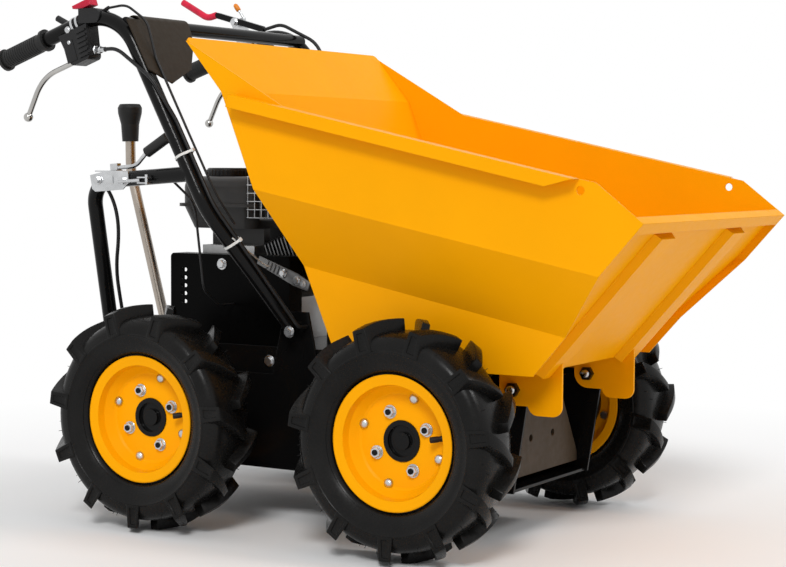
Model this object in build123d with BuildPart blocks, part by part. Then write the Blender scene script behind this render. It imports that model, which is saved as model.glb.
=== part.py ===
from build123d import *
from math import atan2, cos, radians, sin, sqrt, tan
import os

os.makedirs("parts", exist_ok=True)

# A walk-behind motor wheelbarrow with four wheels, an engine at the rear and a bin that tips forward.
# X points forward, Y to the machine's left, Z up. The origin is on the floor under the middle of the length.

# Whole machine
LENGTH = 1338.0
LIP_X = LENGTH / 2

# Wheels
WHEELBASE = 526.0
FRONT_AXLE_X = 245.0
REAR_AXLE_X = FRONT_AXLE_X - WHEELBASE
TRACK = 644.0
TYRE_RADIUS = 204.0
TYRE_WIDTH = 112.0
TYRE_GAP = 23.0
LUG_HEIGHT = 20.0
LUG_DEPTH = 8.0
LUGS_PER_SIDE = 11
LUG_SHOULDER_WIDTH = 30.0
LUG_MIDDLE_WIDTH = 24.0
LUG_NOSE_WIDTH = 18.0
LUG_SHOULDER_TURN = 6.0
LUG_NOSE_TURN = 13.5
LUG_START = -82.0
LUG_MIDDLE_OUT = 26.0
LUG_NOSE_OUT = -7.0
LUG_DROP = 7.0
TYRE_SIDES = 22
BEAD_SIDES = 22
BEAD_RADIUS = 102.0
BEAD_FLAT = BEAD_RADIUS * cos(radians(180.0 / BEAD_SIDES))
BEAD_WIDTH = 62.0
BEAD_FLARE = 44.0
FLANGE_GAP = 2.0
SEAT_GAP = 0.6
RIM_FLANGE_RADIUS = 114.0
RIM_WIDTH = 76.0
RIM_SHEET = 3.0
RIM_WELL_RADIUS = 84.0
HUB_RADIUS = 34.5
HUB_FLANGE_RADIUS = 64.0
HUB_FLANGE = 10.0
HUB_REACH = 8.0
HUB_RECESS = 6.0
NUT_CIRCLE = 105.0
STUD_RADIUS = 5.0
STUD_REACH = 16.0
WHEEL_STUDS = 4
STUD_TURN = 25.0
SHAFT_RADIUS = 15.0
SHAFT_PLAY = 0.05
SHAFT_CLEAR = 20.0
AXLE_TUBE_RADIUS = 25.0
AXLE_FLANGE_RADIUS = 44.0
AXLE_FLANGE = 8.0
AXLE_TUBE_BACK = 40.0
AXLE_TUBE_END = TRACK / 2 - AXLE_TUBE_BACK

# Chassis
CHASSIS_HALF = 150.0
SHAFT_START = CHASSIS_HALF + SHAFT_CLEAR
PLATE = 5.0
CHASSIS_REAR_X = -504.0
CHASSIS_LOW_Z = 100.0
CHASSIS_TOP_Z = 275.0
REAR_CUT = 70.0
HANDLE_EAR = 26.0
NOSE_LOW_X = 362.0
NOSE_HIGH_X = 384.0
NOSE_HIGH_Z = 240.0
FRONT_PLATE_X = 336.0
FRONT_PLATE_HIGH_Z = 240.0
FRONT_PLATE_LOW_Z = 134.0
FRONT_PLATE_FOOT_Z = 118.0
FRONT_PLATE_HIGH_HALF = 84.0
FRONT_HOLE_PITCH = 86.0
FRONT_HOLE_RADIUS = 6.5
FRONT_HOLE_Z = 182.0
DECK_FRONT_X = -18.0
DECK_REAR_X = -400.0
DECK_Z = 325.0
DECK_LEG = 30.0
REST_X = 96.0
REST_WIDTH = 60.0
BUFFER_RADIUS = 20.0
BUFFER_OUT = 90.0
TRANSMISSION_LENGTH = 236.0
TRANSMISSION_WIDTH = 220.0
TRANSMISSION_SETBACK = 20.0
TRANSMISSION_HIGH_Z = 262.0
TRANSMISSION_CORNER = 20.0
TOUCH_GAP = 0.3

# Tipping hinge
PIVOT_X = 365.0
PIVOT_Z = 281.0
PIVOT_RADIUS = 8.0
PIVOT_PLAY = 0.05
PIVOT_HORN_RADIUS = 25.0
PIVOT_HEAD_RADIUS = 13.0
PIVOT_HEAD = 9.0
EAR = 5.0
EAR_GAP = 3.5
EAR_LOBE_RADIUS = 27.0
EAR_LOW_Z = 239.0
EAR_FRONT_X = 456.0
EAR_STEP_X = 400.0
EAR_STEP = 8.0
EAR_CORNER = 18.0

# Bin outline seen from the side
SHEET = 3.0
FLOOR_Z = 315.0
FLOOR_REAR_X = 62.0
FLOOR_FRONT_X = 442.0
LIP_Z = 572.0
CORNER_BACK = 80.0
CORNER_X = LIP_X - CORNER_BACK
CORNER_Z = 634.0
GUSSET_X = 0.0
GUSSET_Z = 759.0
HEAD_X = -209.0
HEAD_Z = 880.0
HEAD_FOLD_X = -128.0
HEAD_FOLD_Z = 785.0
HEAD_CORNER = 10.0
HEAD_SHARE = 0.04

# Bin section across its length
BIN_HALF = 320.0
BIN_WAIST_HALF = TRACK / 2 - TYRE_WIDTH / 2 - TYRE_GAP
BIN_TAPER = 13.0
BIN_TAPER_DEPTH = 150.0
FOLD_TILT = 11.1
UPPER_FOLD_Z = 604.8
LOWER_FOLD_Z = 481.3
RIM_OUT = 26.0
RIM_DROP = 22.0
RIM_REAR_X = -96.0
RIM_FRONT_BACK = 29.0
RIM_FRONT_X = CORNER_X - RIM_FRONT_BACK
RIM_SLANT = 45.0
LASH_HOLE_BACK = 27.0
LASH_HOLE_X = CORNER_X - LASH_HOLE_BACK
LASH_HOLE_Z = 622.0
LASH_HOLE_RADIUS = 7.0
FRONT_RECESS = 14.0
LIP_DROP = 20.0
RIB_MIDDLE = 158.0
RIB_WIDTH = 72.0
RIB_FACE = 54.0

# Engine
CRANK_X = -255.0
CRANK_Z = 431.0
CYLINDER_TILT = 22.0
CASE_HALF = 98.0
CASE_FOOT = 150.0
CASE_TOP = 120.0
CASE_TOP_BACK = 20.0
CASE_TOP_Z = 506.0
CYLINDER_Y = -26.0
CASE_RADIUS = 72.0
BORE_BLOCK = 84.0
BORE_CORNER = 8.0
FIN_COUNT = 10
FIN_PITCH = 7.7
FIN = 2.4
FIN_REACH = 14.0
HEAD_COVER = 34.0
HEAD_WIDTH = 92.0
HEAD_HEIGHT = 80.0
HEAD_ROUND = 8.0
TANK_LOW_Z = 538.0
TANK_SEAM_Z = 579.0
TANK_HIGH_Z = 636.0
TANK_REAR_X = -374.0
TANK_FRONT_X = -196.0
TANK_RIGHT_Y = -122.0
TANK_LEFT_Y = 112.0
TANK_CORNER = 28.0
TANK_ROUND = 22.0
TANK_INSET = 16.0
TANK_FOOT = 20.0
TANK_FOOT_OUT = 56.0
TANK_SEAM = 6.0
TANK_SEAM_OUT = 7.0
CAP_X = -311.0
CAP_Y = -45.0
CAP_RADIUS = 43.0
CAP_HEIGHT = 16.0
CAP_ROUND = 5.0
EXHAUST_REAR_X = -186.0
EXHAUST_FRONT_X = -96.0
EXHAUST_RIGHT_Y = -116.0
EXHAUST_LEFT_Y = 8.0
EXHAUST_LOW_Z = 560.0
EXHAUST_HIGH_Z = 632.0
EXHAUST_CORNER = 16.0
PORT_RADIUS = 13.0
PORT_RUN = 42.0
INTAKE_RADIUS = 15.0
INTAKE_BEND = 24.0
FILTER_RIGHT_Y = 26.0
FILTER_LEFT_Y = 150.0
FILTER_HIGH_Z = 640.0
STARTER_RADIUS = 92.0
STARTER_DEPTH = 62.0
STARTER_SLOPE = 22.0
COVER_REAR_X = -377.0
COVER_FRONT_X = -104.0
COVER_HIGH_Z = 491.0
COVER_DEPTH = 40.0
COVER_GAP = 5.0
COVER_CORNER = 8.0
COVER_SHEET = 3.0
SLOT_X = -346.0
SLOT_Z = 400.0
SLOT_COUNT = 5
SLOT_PITCH = 15.0
SLOT_LENGTH = 15.0
SLOT_WIDTH = 7.0
GUARD_FRONT_X = -86.0
GUARD_LOW_Z = 556.0
GUARD_HIGH_Z = 640.0
GUARD_RIGHT_Y = -122.0
GUARD_SHEET = 2.0
GUARD_PITCH = 15.0
GUARD_OPENING = 12.2
GUARD_POST_RADIUS = 4.0
GUARD_POST_OUT = 24.0

# Handlebar
TUBE_RADIUS = 14.0
HANDLE_HALF = 284.0
HANDLE_FOOT_OUT = 16.0
HANDLE_FOOT_HALF = CHASSIS_HALF + HANDLE_FOOT_OUT
GRIP_SLOPE = 19.0
HANDLE_TOP_X = -388.0
HANDLE_TOP_Z = 947.4
HANDLE_BEND_X = -188.0
HANDLE_BEND_Z = 580.0
HANDLE_FOOT_X = -85.0
HANDLE_FOOT_Z = 366.0
HANDLE_TOP_RADIUS = 100.0
HANDLE_BEND_RADIUS = 120.0
GRIP_RADIUS = 17.0
GRIP_LENGTH = 112.0
GRIP_WALL = 5.0
GRIP_COLLAR = 6.0
GRIP_COLLAR_RADIUS = 21.0
CROSS_TUBE_RADIUS = 12.5
CROSS_DROP = 34.0
FOOT_BOSS_RADIUS = 10.0
BRACE_HIGH_Z = 642.0
BRACE_CORNER_X = -468.0
BRACE_CORNER_HALF = HANDLE_HALF - 22.0
BRACE_CORNER_Z = 625.0
BRACE_FOOT_X = -489.0
BRACE_FOOT_Z = 257.0
BRACE_BEND_RADIUS = 55.0

# Gear lever
GEAR_Y = -40.0
GEAR_TOP_X = -559.0
GEAR_TOP_Z = 777.0
GEAR_FOOT_X = -404.0
GEAR_BEND_X = -471.0
GEAR_BEND_Z = 345.0
GEAR_BEND_RADIUS = 30.0
GEAR_NECK_X = -557.0
GEAR_NECK_Z = 646.0
GEAR_NECK_RADIUS = 150.0
GEAR_BOSS_RADIUS = 16.0
GEAR_BOSS = 24.0
GEAR_ROD_RADIUS = 10.0
KNOB_LENGTH = 74.0
KNOB_ROUND = 3.0
KNOB_PROFILE = [
    # radius, share of the way up
    (16.0, 0.0),
    (18.0, 0.46),
    (23.5, 0.76),
    (24.0, 0.90),
    (20.0, 1.0),
    (13.0, 1.0),
    (13.0, 0.90),
]

# Controls, placed by the way in from the rear end of a grip and the height over the tube's middle
LEVER_BOX_START = 152.0
LEVER_BOX_END = 222.0
LEVER_BOX_SLANT = 13.0
LEVER_BOX_HIGH = -10.0
LEVER_BOX_LOW = -73.0
LEVER_BOX_WIDTH = 34.0
LEVER_BOX_CORNER = 8.0
LEVER_RADIUS = 5.0
LEVER_BALL_RADIUS = 9.0
LEVER_BEND_RADIUS = 85.0
LEVER_ROOT = 182.0
LEVER_TURN = 77.0
LEVER_LEVEL = -62.0
LEVER_END = 19.0
LEVER_END_LEVEL = -120.0
LEVER_SLOT_ROOM = 4.0
SWITCH_BACK = 61.0
SWITCH_LENGTH = 36.0
SWITCH_WIDTH = 34.0
SWITCH_DROP = 4.4
SWITCH_HEIGHT = 27.0
BUTTON_LENGTH = 42.0
BUTTON_WIDTH = 24.0
BUTTON_HEIGHT = 13.0
BUTTON_BACK = 14.0
THROTTLE_START = 160.0
THROTTLE_LENGTH = 18.0
THROTTLE_OUT = 22.0
THROTTLE_BLOCK = 20.0
THROTTLE_RADIUS = 6.0
THROTTLE_RUN = 35.0
THROTTLE_RISE = 37.0
DRIVE_IN = 28.0
DRIVE_ARM = 11.4
DRIVE_ARM_HEIGHT = 15.0
DRIVE_ARM_START = 132.0
DRIVE_ARM_END = 238.0
DRIVE_ARM_HIGH = 82.0
DRIVE_ARM_LOW = 9.0
DRIVE_RADIUS = 7.0
DRIVE_TURN = 108.0
DRIVE_TURN_HIGH = 84.0
DRIVE_TIP = 58.0
DRIVE_TIP_HIGH = 139.0
DRIVE_BEND_RADIUS = 30.0
DRIVE_RING = 5.0
DRIVE_TAB = 10.0
DRIVE_TAB_START = 158.0
DRIVE_TAB_END = 190.0
DRIVE_TAB_HIGH = 56.0
CONSOLE_SHEET = 2.5
CONSOLE_WRAP_GAP = 8.0
CONSOLE_OUTLINE = [
    # way left, way down
    (-298.0, 0.0),
    (-115.0, 0.0),
    (-125.0, 40.0),
    (-170.0, 100.0),
    (-245.0, 132.0),
    (-298.0, 106.0),
]
RELEASE_SHARE = 0.75
RELEASE_RING = 5.0
RELEASE_LENGTH = 18.0
RELEASE_TAB = 10.0
RELEASE_TAB_HIGH = 26.0
RELEASE_ROD_RADIUS = 4.0
RELEASE_GRIP_RADIUS = 10.0
RELEASE_GRIP_START = 1.9
RELEASE_BEND_RADIUS = 30.0
RELEASE_RUN = 50.0
RELEASE_TURN_X = -332.0
RELEASE_TURN_Z = 679.0
RELEASE_END_X = -284.0
RELEASE_END_Z = 707.0
CABLE_RADIUS = 3.5
WIRE_RADIUS = 2.3
STEER_CABLE = [
    # X, way out from the tube's middle, Z, bend
    (-377.0, 16.0, 868.0, 60.0),
    (-292.0, 22.0, 812.0, 60.0),
    (-253.0, 2.0, 738.0, 60.0),
    (-171.5, 1.0, 588.0, 100.0),
]
STEER_CABLE_LEVEL = -58.0
CABLE_START = 1.4
CABLE_FOOT = 23.0
CABLE_FOOT_OUT = 9.0
CABLE_FOOT_BEND = 14.0
CABLE_END = 0.6
SWITCH_WIRE = [
    # X, way out from the tube's middle, Z, bend
    (-378.0, -12.0, 949.0, 30.0),
    (-334.0, -17.4, 918.0, 40.0),
    (-314.2, -17.4, 852.3, 60.0),
    (-244.2, -17.4, 723.3, 0.0),
]
SWITCH_WIRE_BACK = 23.6
SWITCH_WIRE_DROP = 4.5
DRIVE_CABLE = [
    # X, way out from the tube's middle, Z, bend
    (-398.5, -28.0, 949.0, 40.0),
    (-315.0, -17.8, 908.0, 60.0),
    (-211.0, -17.8, 650.0, 0.0),
]
DRIVE_CABLE_HIGH = DRIVE_ARM_LOW
RELEASE_CABLE = [
    # X, way out from the tube's middle, Z, bend
    (-295.0, -24.0, 639.5, 40.0),
    (-238.0, -32.0, 590.0, 60.0),
]
RELEASE_FOOT = [
    # X, way out from the belt cover, Z, bend
    (-229.0, 93.0, 430.0, 30.0),
    (-229.0, 47.0, 400.0, 30.0),
]
RELEASE_CABLE_OUT = 16.65

# Tyre section without the bars, from the inner side to the outer
CARCASS_RADIUS = TYRE_RADIUS - LUG_HEIGHT
TYRE_SECTION = [
    # share of the half width, depth under the crown
    (-1.00, 36.0),
    (-0.66, 2.0),
    (0.66, 2.0),
    (1.00, 36.0),
]
WHEELS = [
    # name, axle place, side
    ("front_right", FRONT_AXLE_X, -1),
    ("front_left", FRONT_AXLE_X, 1),
    ("rear_right", REAR_AXLE_X, -1),
    ("rear_left", REAR_AXLE_X, 1),
]


def side_plane(y):
    """The upright plane at one distance to the left, X across and Z up in the sketch."""
    return Plane.XZ.offset(-y)


def between(a, b, share):
    """The point a share of the way from one point to another."""
    return tuple(p + (q - p) * share for p, q in zip(a, b))


def bent_tube(points, bends, radius):
    """A round bar along straight runs joined by arcs."""
    with BuildPart() as bar:
        with BuildLine() as path:
            FilletPolyline(*points, radius=bends)
        with BuildSketch(Plane(origin=path.line @ 0, z_dir=path.line % 0)):
            Circle(radius)
        sweep(path=path.line)
    return bar.part


def straight_bar(start, end, radius):
    """A round bar between two points."""
    run = Vector(*end) - Vector(*start)
    with BuildPart() as bar:
        with BuildSketch(Plane(origin=start, z_dir=run)):
            Circle(radius)
        extrude(amount=run.length)
    return bar.part


def wheel_plane(axle_x, side, out=0.0):
    """A plane across an axle, facing away from the machine, some way beyond the wheel's middle."""
    place = (axle_x, side * (TRACK / 2 + out), TYRE_RADIUS)
    return Plane(origin=place, x_dir=(1, 0, 0), z_dir=(0, side, 0))


# Each bar is two straight stretches, so that it bends round the crown
LUG_HALVES = [
    # outer end, inner end, turn at the outer end, turn at the inner end, drop, outer width, inner width
    (
        TYRE_WIDTH / 2,
        LUG_MIDDLE_OUT,
        0.0,
        LUG_SHOULDER_TURN,
        LUG_DROP,
        LUG_SHOULDER_WIDTH,
        LUG_MIDDLE_WIDTH,
    ),
    (
        LUG_MIDDLE_OUT,
        LUG_NOSE_OUT,
        LUG_SHOULDER_TURN,
        LUG_NOSE_TURN,
        0.0,
        LUG_MIDDLE_WIDTH,
        LUG_NOSE_WIDTH,
    ),
]


def lug_slip(stretch):
    """Half the way that one stretch of a bar runs round the tyre."""
    return radians(stretch[3] - stretch[2]) / 2 * CARCASS_RADIUS


def lug_plane(axle_x, angle, stretch):
    """A plane inside the tread, facing out, so far in that the bar's corners end at the tyre's radius."""
    outer, inner, first, last, drop, outer_width, inner_width = stretch
    way = radians(angle - (first + last) / 2)
    out = Vector(cos(way), 0, sin(way))
    reach = lug_slip(stretch) + max(outer_width, inner_width) / 2
    top = sqrt(TYRE_RADIUS**2 - reach**2) - drop
    foot = Vector(axle_x, 0, TYRE_RADIUS) + out * (top - LUG_HEIGHT - LUG_DEPTH)
    return Plane(origin=foot, x_dir=(0, 1, 0), z_dir=out)


def lug_corners(stretch, side, turn):
    """The four corners of one stretch of a bar."""
    outer, inner, first, last, drop, outer_width, inner_width = stretch
    slip = lug_slip(stretch)
    wheel_y = side * TRACK / 2
    return [
        (wheel_y + turn * outer, -slip - outer_width / 2),
        (wheel_y + turn * outer, -slip + outer_width / 2),
        (wheel_y + turn * inner, slip + inner_width / 2),
        (wheel_y + turn * inner, slip - inner_width / 2),
    ]


def tyre_body(axle_x, side):
    """The tyre in flat facets, with tread bars that run from each shoulder to just past the middle."""
    half = TYRE_WIDTH / 2
    with BuildPart() as tyre:
        for share, depth in TYRE_SECTION:
            with BuildSketch(wheel_plane(axle_x, side, share * half)):
                RegularPolygon(CARCASS_RADIUS - depth, TYRE_SIDES)
        loft(ruled=True)
        for turn in (-1, 1):
            for index in range(LUGS_PER_SIDE):
                angle = LUG_START + (index + turn / 4) * 360.0 / LUGS_PER_SIDE
                for stretch in LUG_HALVES:
                    with BuildSketch(lug_plane(axle_x, angle, stretch)):
                        with BuildLine():
                            Polyline(*lug_corners(stretch, side, turn), close=True)
                        make_face()
        extrude(amount=LUG_HEIGHT + LUG_DEPTH)
        with BuildSketch(wheel_plane(axle_x, side, -half)):
            RegularPolygon(BEAD_RADIUS, BEAD_SIDES)
        extrude(amount=TYRE_WIDTH, mode=Mode.SUBTRACT)
        for turn in (-1, 1):
            with BuildSketch(wheel_plane(axle_x, side, turn * half)):
                RegularPolygon(BEAD_RADIUS + BEAD_FLARE, BEAD_SIDES)
            with BuildSketch(wheel_plane(axle_x, side, turn * BEAD_WIDTH / 2)):
                RegularPolygon(RIM_FLANGE_RADIUS + FLANGE_GAP, BEAD_SIDES)
            loft(ruled=True, mode=Mode.SUBTRACT)
    return tyre.part


def rim_body(axle_x, side):
    """The pressed split rim, its two discs back to back in the middle."""
    half = RIM_WIDTH / 2
    seat = BEAD_FLAT - SEAT_GAP
    outer = [
        # distance from the middle, radius, on the tyre's side
        (RIM_SHEET, RIM_WELL_RADIUS + RIM_SHEET),
        (0.5 * half, seat - 3.0),
        (half - 2 * RIM_SHEET, seat),
        (half - 2 * RIM_SHEET + 1.0, RIM_FLANGE_RADIUS - 1.0),
    ]
    inner = [
        # distance from the middle, radius, on the hub's side
        (half - 1.0, RIM_FLANGE_RADIUS),
        (half, RIM_FLANGE_RADIUS - 2.0),
        (half - RIM_SHEET, seat - 4.0),
        (0.55 * half, seat - 7.0),
        (2 * RIM_SHEET, RIM_WELL_RADIUS - 2.0),
        (RIM_SHEET, RIM_WELL_RADIUS - 6.0),
        (RIM_SHEET, HUB_RADIUS + TOUCH_GAP),
    ]
    section = outer + inner
    section = section + [(-out, radius) for out, radius in reversed(section)]
    plane = Plane(origin=(axle_x, side * TRACK / 2, TYRE_RADIUS), x_dir=(0, side, 0), z_dir=(side, 0, 0))
    with BuildPart() as rim:
        with BuildSketch(plane):
            with BuildLine():
                Polyline(*section, close=True)
            make_face()
        revolve(axis=Axis((axle_x, 0, TYRE_RADIUS), (0, 1, 0)))
        with BuildSketch(wheel_plane(axle_x, side, -RIM_SHEET)):
            with PolarLocations(NUT_CIRCLE / 2, WHEEL_STUDS, start_angle=STUD_TURN):
                Circle(STUD_RADIUS + TOUCH_GAP)
        extrude(amount=2 * RIM_SHEET, mode=Mode.SUBTRACT)
    return rim.part


def hub_body(axle_x, side):
    """The hub with its studs, turning on a shaft that runs into the axle tube."""
    face = -RIM_SHEET
    with BuildPart() as hub:
        with BuildSketch(wheel_plane(axle_x, side, face - HUB_FLANGE)):
            Circle(HUB_FLANGE_RADIUS)
        extrude(amount=HUB_FLANGE)
        with BuildSketch(wheel_plane(axle_x, side, face)):
            Circle(HUB_RADIUS)
        extrude(amount=HUB_REACH)
        with BuildSketch(wheel_plane(axle_x, side, face + HUB_REACH)):
            Circle(HUB_RADIUS - 8.0)
            Circle(SHAFT_RADIUS, mode=Mode.SUBTRACT)
        extrude(amount=-HUB_RECESS, mode=Mode.SUBTRACT)
        with BuildSketch(wheel_plane(axle_x, side, face)):
            with PolarLocations(NUT_CIRCLE / 2, WHEEL_STUDS, start_angle=STUD_TURN):
                Circle(STUD_RADIUS)
        extrude(amount=STUD_REACH)
        with BuildSketch(wheel_plane(axle_x, side, SHAFT_START - TRACK / 2)):
            Circle(SHAFT_RADIUS)
        extrude(amount=TRACK / 2 - SHAFT_START + face)
    return hub.part


first_tyre = tyre_body(FRONT_AXLE_X, -1)
for name, axle_x, side in WHEELS:
    with BuildPart() as tyre:
        with Locations((axle_x - FRONT_AXLE_X, 0, 0)):
            add(first_tyre)
        if side > 0:
            mirror(about=Plane.XZ, mode=Mode.REPLACE)
    tyre.part.label = "tyre_" + name
    export_step(tyre.part, "parts/tyre_" + name + ".step")
    with BuildPart() as rim:
        add(rim_body(axle_x, side))
    rim.part.label = "rim_" + name
    export_step(rim.part, "parts/rim_" + name + ".step")
    with BuildPart() as hub:
        add(hub_body(axle_x, side))
    hub.part.label = "hub_" + name
    export_step(hub.part, "parts/hub_" + name + ".step")

# Axle tubes, one for each wheel, flanged to the chassis sides
with BuildPart() as axle_tubes:
    for name, axle_x, side in WHEELS:
        with BuildSketch(wheel_plane(axle_x, side, CHASSIS_HALF - TRACK / 2)):
            Circle(AXLE_FLANGE_RADIUS)
            Circle(SHAFT_RADIUS + SHAFT_PLAY, mode=Mode.SUBTRACT)
        extrude(amount=AXLE_FLANGE)
        with BuildSketch(wheel_plane(axle_x, side, CHASSIS_HALF - TRACK / 2)):
            Circle(AXLE_TUBE_RADIUS)
            Circle(SHAFT_RADIUS + SHAFT_PLAY, mode=Mode.SUBTRACT)
        extrude(amount=AXLE_TUBE_END - CHASSIS_HALF)
axle_tubes.part.label = "axle_tubes"
export_step(axle_tubes.part, "parts/axle_tubes.step")

# Chassis
INNER_HALF = CHASSIS_HALF - PLATE
with BuildPart() as side_plates:
    with BuildSketch(side_plane(-INNER_HALF)):
        with BuildLine():
            Polyline(
                (CHASSIS_REAR_X, CHASSIS_TOP_Z),
                (CHASSIS_REAR_X, CHASSIS_LOW_Z + REAR_CUT),
                (CHASSIS_REAR_X + REAR_CUT, CHASSIS_LOW_Z),
                (NOSE_LOW_X, CHASSIS_LOW_Z),
                (NOSE_HIGH_X, NOSE_HIGH_Z),
                (PIVOT_X + PIVOT_HORN_RADIUS, PIVOT_Z),
                (PIVOT_X - PIVOT_HORN_RADIUS, PIVOT_Z),
                (PIVOT_X - 2 * PIVOT_HORN_RADIUS, CHASSIS_TOP_Z),
                (HANDLE_FOOT_X + 2 * HANDLE_EAR, CHASSIS_TOP_Z),
                (HANDLE_FOOT_X + HANDLE_EAR, HANDLE_FOOT_Z + HANDLE_EAR),
                (HANDLE_FOOT_X - HANDLE_EAR, HANDLE_FOOT_Z + HANDLE_EAR),
                (HANDLE_FOOT_X - 2 * HANDLE_EAR, CHASSIS_TOP_Z),
                close=True,
            )
        make_face()
        with Locations((PIVOT_X, PIVOT_Z)):
            Circle(PIVOT_HORN_RADIUS)
            Circle(PIVOT_RADIUS + PIVOT_PLAY, mode=Mode.SUBTRACT)
    extrude(amount=PLATE)
    mirror(about=Plane.XZ)
side_plates.part.label = "side_plates"
export_step(side_plates.part, "parts/side_plates.step")

with BuildPart() as belly_plate:
    with BuildSketch(Plane.XZ):
        with BuildLine():
            Polyline(
                (CHASSIS_REAR_X + PLATE, CHASSIS_LOW_Z + REAR_CUT),
                (CHASSIS_REAR_X + REAR_CUT + PLATE / 2, CHASSIS_LOW_Z + PLATE),
                (NOSE_LOW_X - PLATE, CHASSIS_LOW_Z + PLATE),
                (NOSE_LOW_X - PLATE, CHASSIS_LOW_Z),
                (CHASSIS_REAR_X + REAR_CUT, CHASSIS_LOW_Z),
                (CHASSIS_REAR_X, CHASSIS_LOW_Z + REAR_CUT),
                close=True,
            )
        make_face()
    extrude(amount=INNER_HALF, both=True)
belly_plate.part.label = "belly_plate"
export_step(belly_plate.part, "parts/belly_plate.step")

with BuildPart() as rear_plate:
    with BuildSketch(Plane.YZ.offset(CHASSIS_REAR_X)):
        with Locations((0, (CHASSIS_TOP_Z + CHASSIS_LOW_Z + REAR_CUT) / 2)):
            Rectangle(2 * INNER_HALF, CHASSIS_TOP_Z - CHASSIS_LOW_Z - REAR_CUT)
    extrude(amount=PLATE)
rear_plate.part.label = "rear_plate"
export_step(rear_plate.part, "parts/rear_plate.step")

with BuildPart() as front_plate:
    with BuildSketch(Plane.YZ.offset(FRONT_PLATE_X)):
        with BuildLine():
            Polyline(
                (-INNER_HALF, FRONT_PLATE_FOOT_Z),
                (INNER_HALF, FRONT_PLATE_FOOT_Z),
                (INNER_HALF, FRONT_PLATE_LOW_Z),
                (FRONT_PLATE_HIGH_HALF, FRONT_PLATE_HIGH_Z),
                (-FRONT_PLATE_HIGH_HALF, FRONT_PLATE_HIGH_Z),
                (-INNER_HALF, FRONT_PLATE_LOW_Z),
                close=True,
            )
        make_face()
        with Locations((0, FRONT_HOLE_Z)):
            with GridLocations(FRONT_HOLE_PITCH, 0, 2, 1):
                Circle(FRONT_HOLE_RADIUS, mode=Mode.SUBTRACT)
    extrude(amount=PLATE)
front_plate.part.label = "front_plate"
export_step(front_plate.part, "parts/front_plate.step")

with BuildPart() as engine_deck:
    with BuildSketch(Plane.YZ.offset(DECK_REAR_X)):
        with Locations((0, DECK_Z)):
            Rectangle(2 * INNER_HALF, DECK_Z - CHASSIS_TOP_Z + DECK_LEG, align=(Align.CENTER, Align.MAX))
        with Locations((0, DECK_Z - PLATE)):
            Rectangle(2 * (INNER_HALF - PLATE), DECK_Z, align=(Align.CENTER, Align.MAX), mode=Mode.SUBTRACT)
    extrude(amount=DECK_FRONT_X - DECK_REAR_X)
engine_deck.part.label = "engine_deck"
export_step(engine_deck.part, "parts/engine_deck.step")

with BuildPart() as transmission:
    with BuildSketch(Plane.XY.offset(CHASSIS_LOW_Z + PLATE)):
        with Locations((REAR_AXLE_X - TRANSMISSION_SETBACK, 0)):
            Rectangle(TRANSMISSION_LENGTH, TRANSMISSION_WIDTH)
    extrude(amount=TRANSMISSION_HIGH_Z - CHASSIS_LOW_Z - PLATE)
    fillet(transmission.edges().filter_by(Axis.Z), TRANSMISSION_CORNER)
transmission.part.label = "transmission"
export_step(transmission.part, "parts/transmission.step")

PIVOT_PITCH = CHASSIS_HALF + INNER_HALF
with BuildPart() as pivot_pin:
    with BuildSketch(side_plane(-INNER_HALF + PLATE)):
        with Locations((PIVOT_X, PIVOT_Z)):
            Circle(PIVOT_RADIUS)
    extrude(amount=2 * PLATE + EAR_GAP + EAR + TOUCH_GAP)
    with BuildSketch(side_plane(-CHASSIS_HALF)):
        with Locations((PIVOT_X, PIVOT_Z)):
            Circle(PIVOT_HEAD_RADIUS)
    extrude(amount=EAR_GAP - TOUCH_GAP)
    with BuildSketch(side_plane(-CHASSIS_HALF - EAR_GAP - EAR - TOUCH_GAP)):
        with Locations((PIVOT_X, PIVOT_Z)):
            RegularPolygon(PIVOT_HEAD_RADIUS, 6)
    extrude(amount=PIVOT_HEAD)
with BuildPart() as pivot_pins:
    with Locations((0, 0, 0), (0, PIVOT_PITCH, 0)):
        add(pivot_pin.part)
pivot_pins.part.label = "pivot_pins"
export_step(pivot_pins.part, "parts/pivot_pins.step")

with BuildPart() as bin_rest:
    with BuildSketch(Plane.XY.offset(CHASSIS_TOP_Z - PLATE)):
        with Locations((REST_X, 0)):
            Rectangle(REST_WIDTH, 2 * INNER_HALF)
    extrude(amount=PLATE)
    with BuildSketch(Plane.XY.offset(CHASSIS_TOP_Z)):
        with Locations((REST_X, 0)):
            with GridLocations(0, 2 * BUFFER_OUT, 1, 2):
                Circle(BUFFER_RADIUS)
    extrude(amount=FLOOR_Z - TOUCH_GAP - CHASSIS_TOP_Z)
bin_rest.part.label = "bin_rest"
export_step(bin_rest.part, "parts/bin_rest.step")

# Bin, split where its sheets are welded
BIN_OUTLINE = [
    (FLOOR_REAR_X, FLOOR_Z),
    (FLOOR_FRONT_X, FLOOR_Z),
    (LIP_X, LIP_Z),
    (CORNER_X, CORNER_Z),
    (GUSSET_X, GUSSET_Z),
    between((HEAD_X, HEAD_Z), (HEAD_FOLD_X, HEAD_FOLD_Z), HEAD_SHARE),
    (HEAD_FOLD_X, HEAD_FOLD_Z),
]
FOLD_RUN = Vector(cos(radians(FOLD_TILT)), 0, -sin(radians(FOLD_TILT)))
SECTION_PLANE = Plane(origin=(0, 0, 0), x_dir=(0, 1, 0), z_dir=FOLD_RUN)
UPPER_FOLD = UPPER_FOLD_Z * cos(radians(FOLD_TILT))
LOWER_FOLD = LOWER_FOLD_Z * cos(radians(FOLD_TILT))
SECTION_LOW = FLOOR_Z - BIN_TAPER_DEPTH
SECTION_HIGH = HEAD_Z + BIN_TAPER_DEPTH


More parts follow.
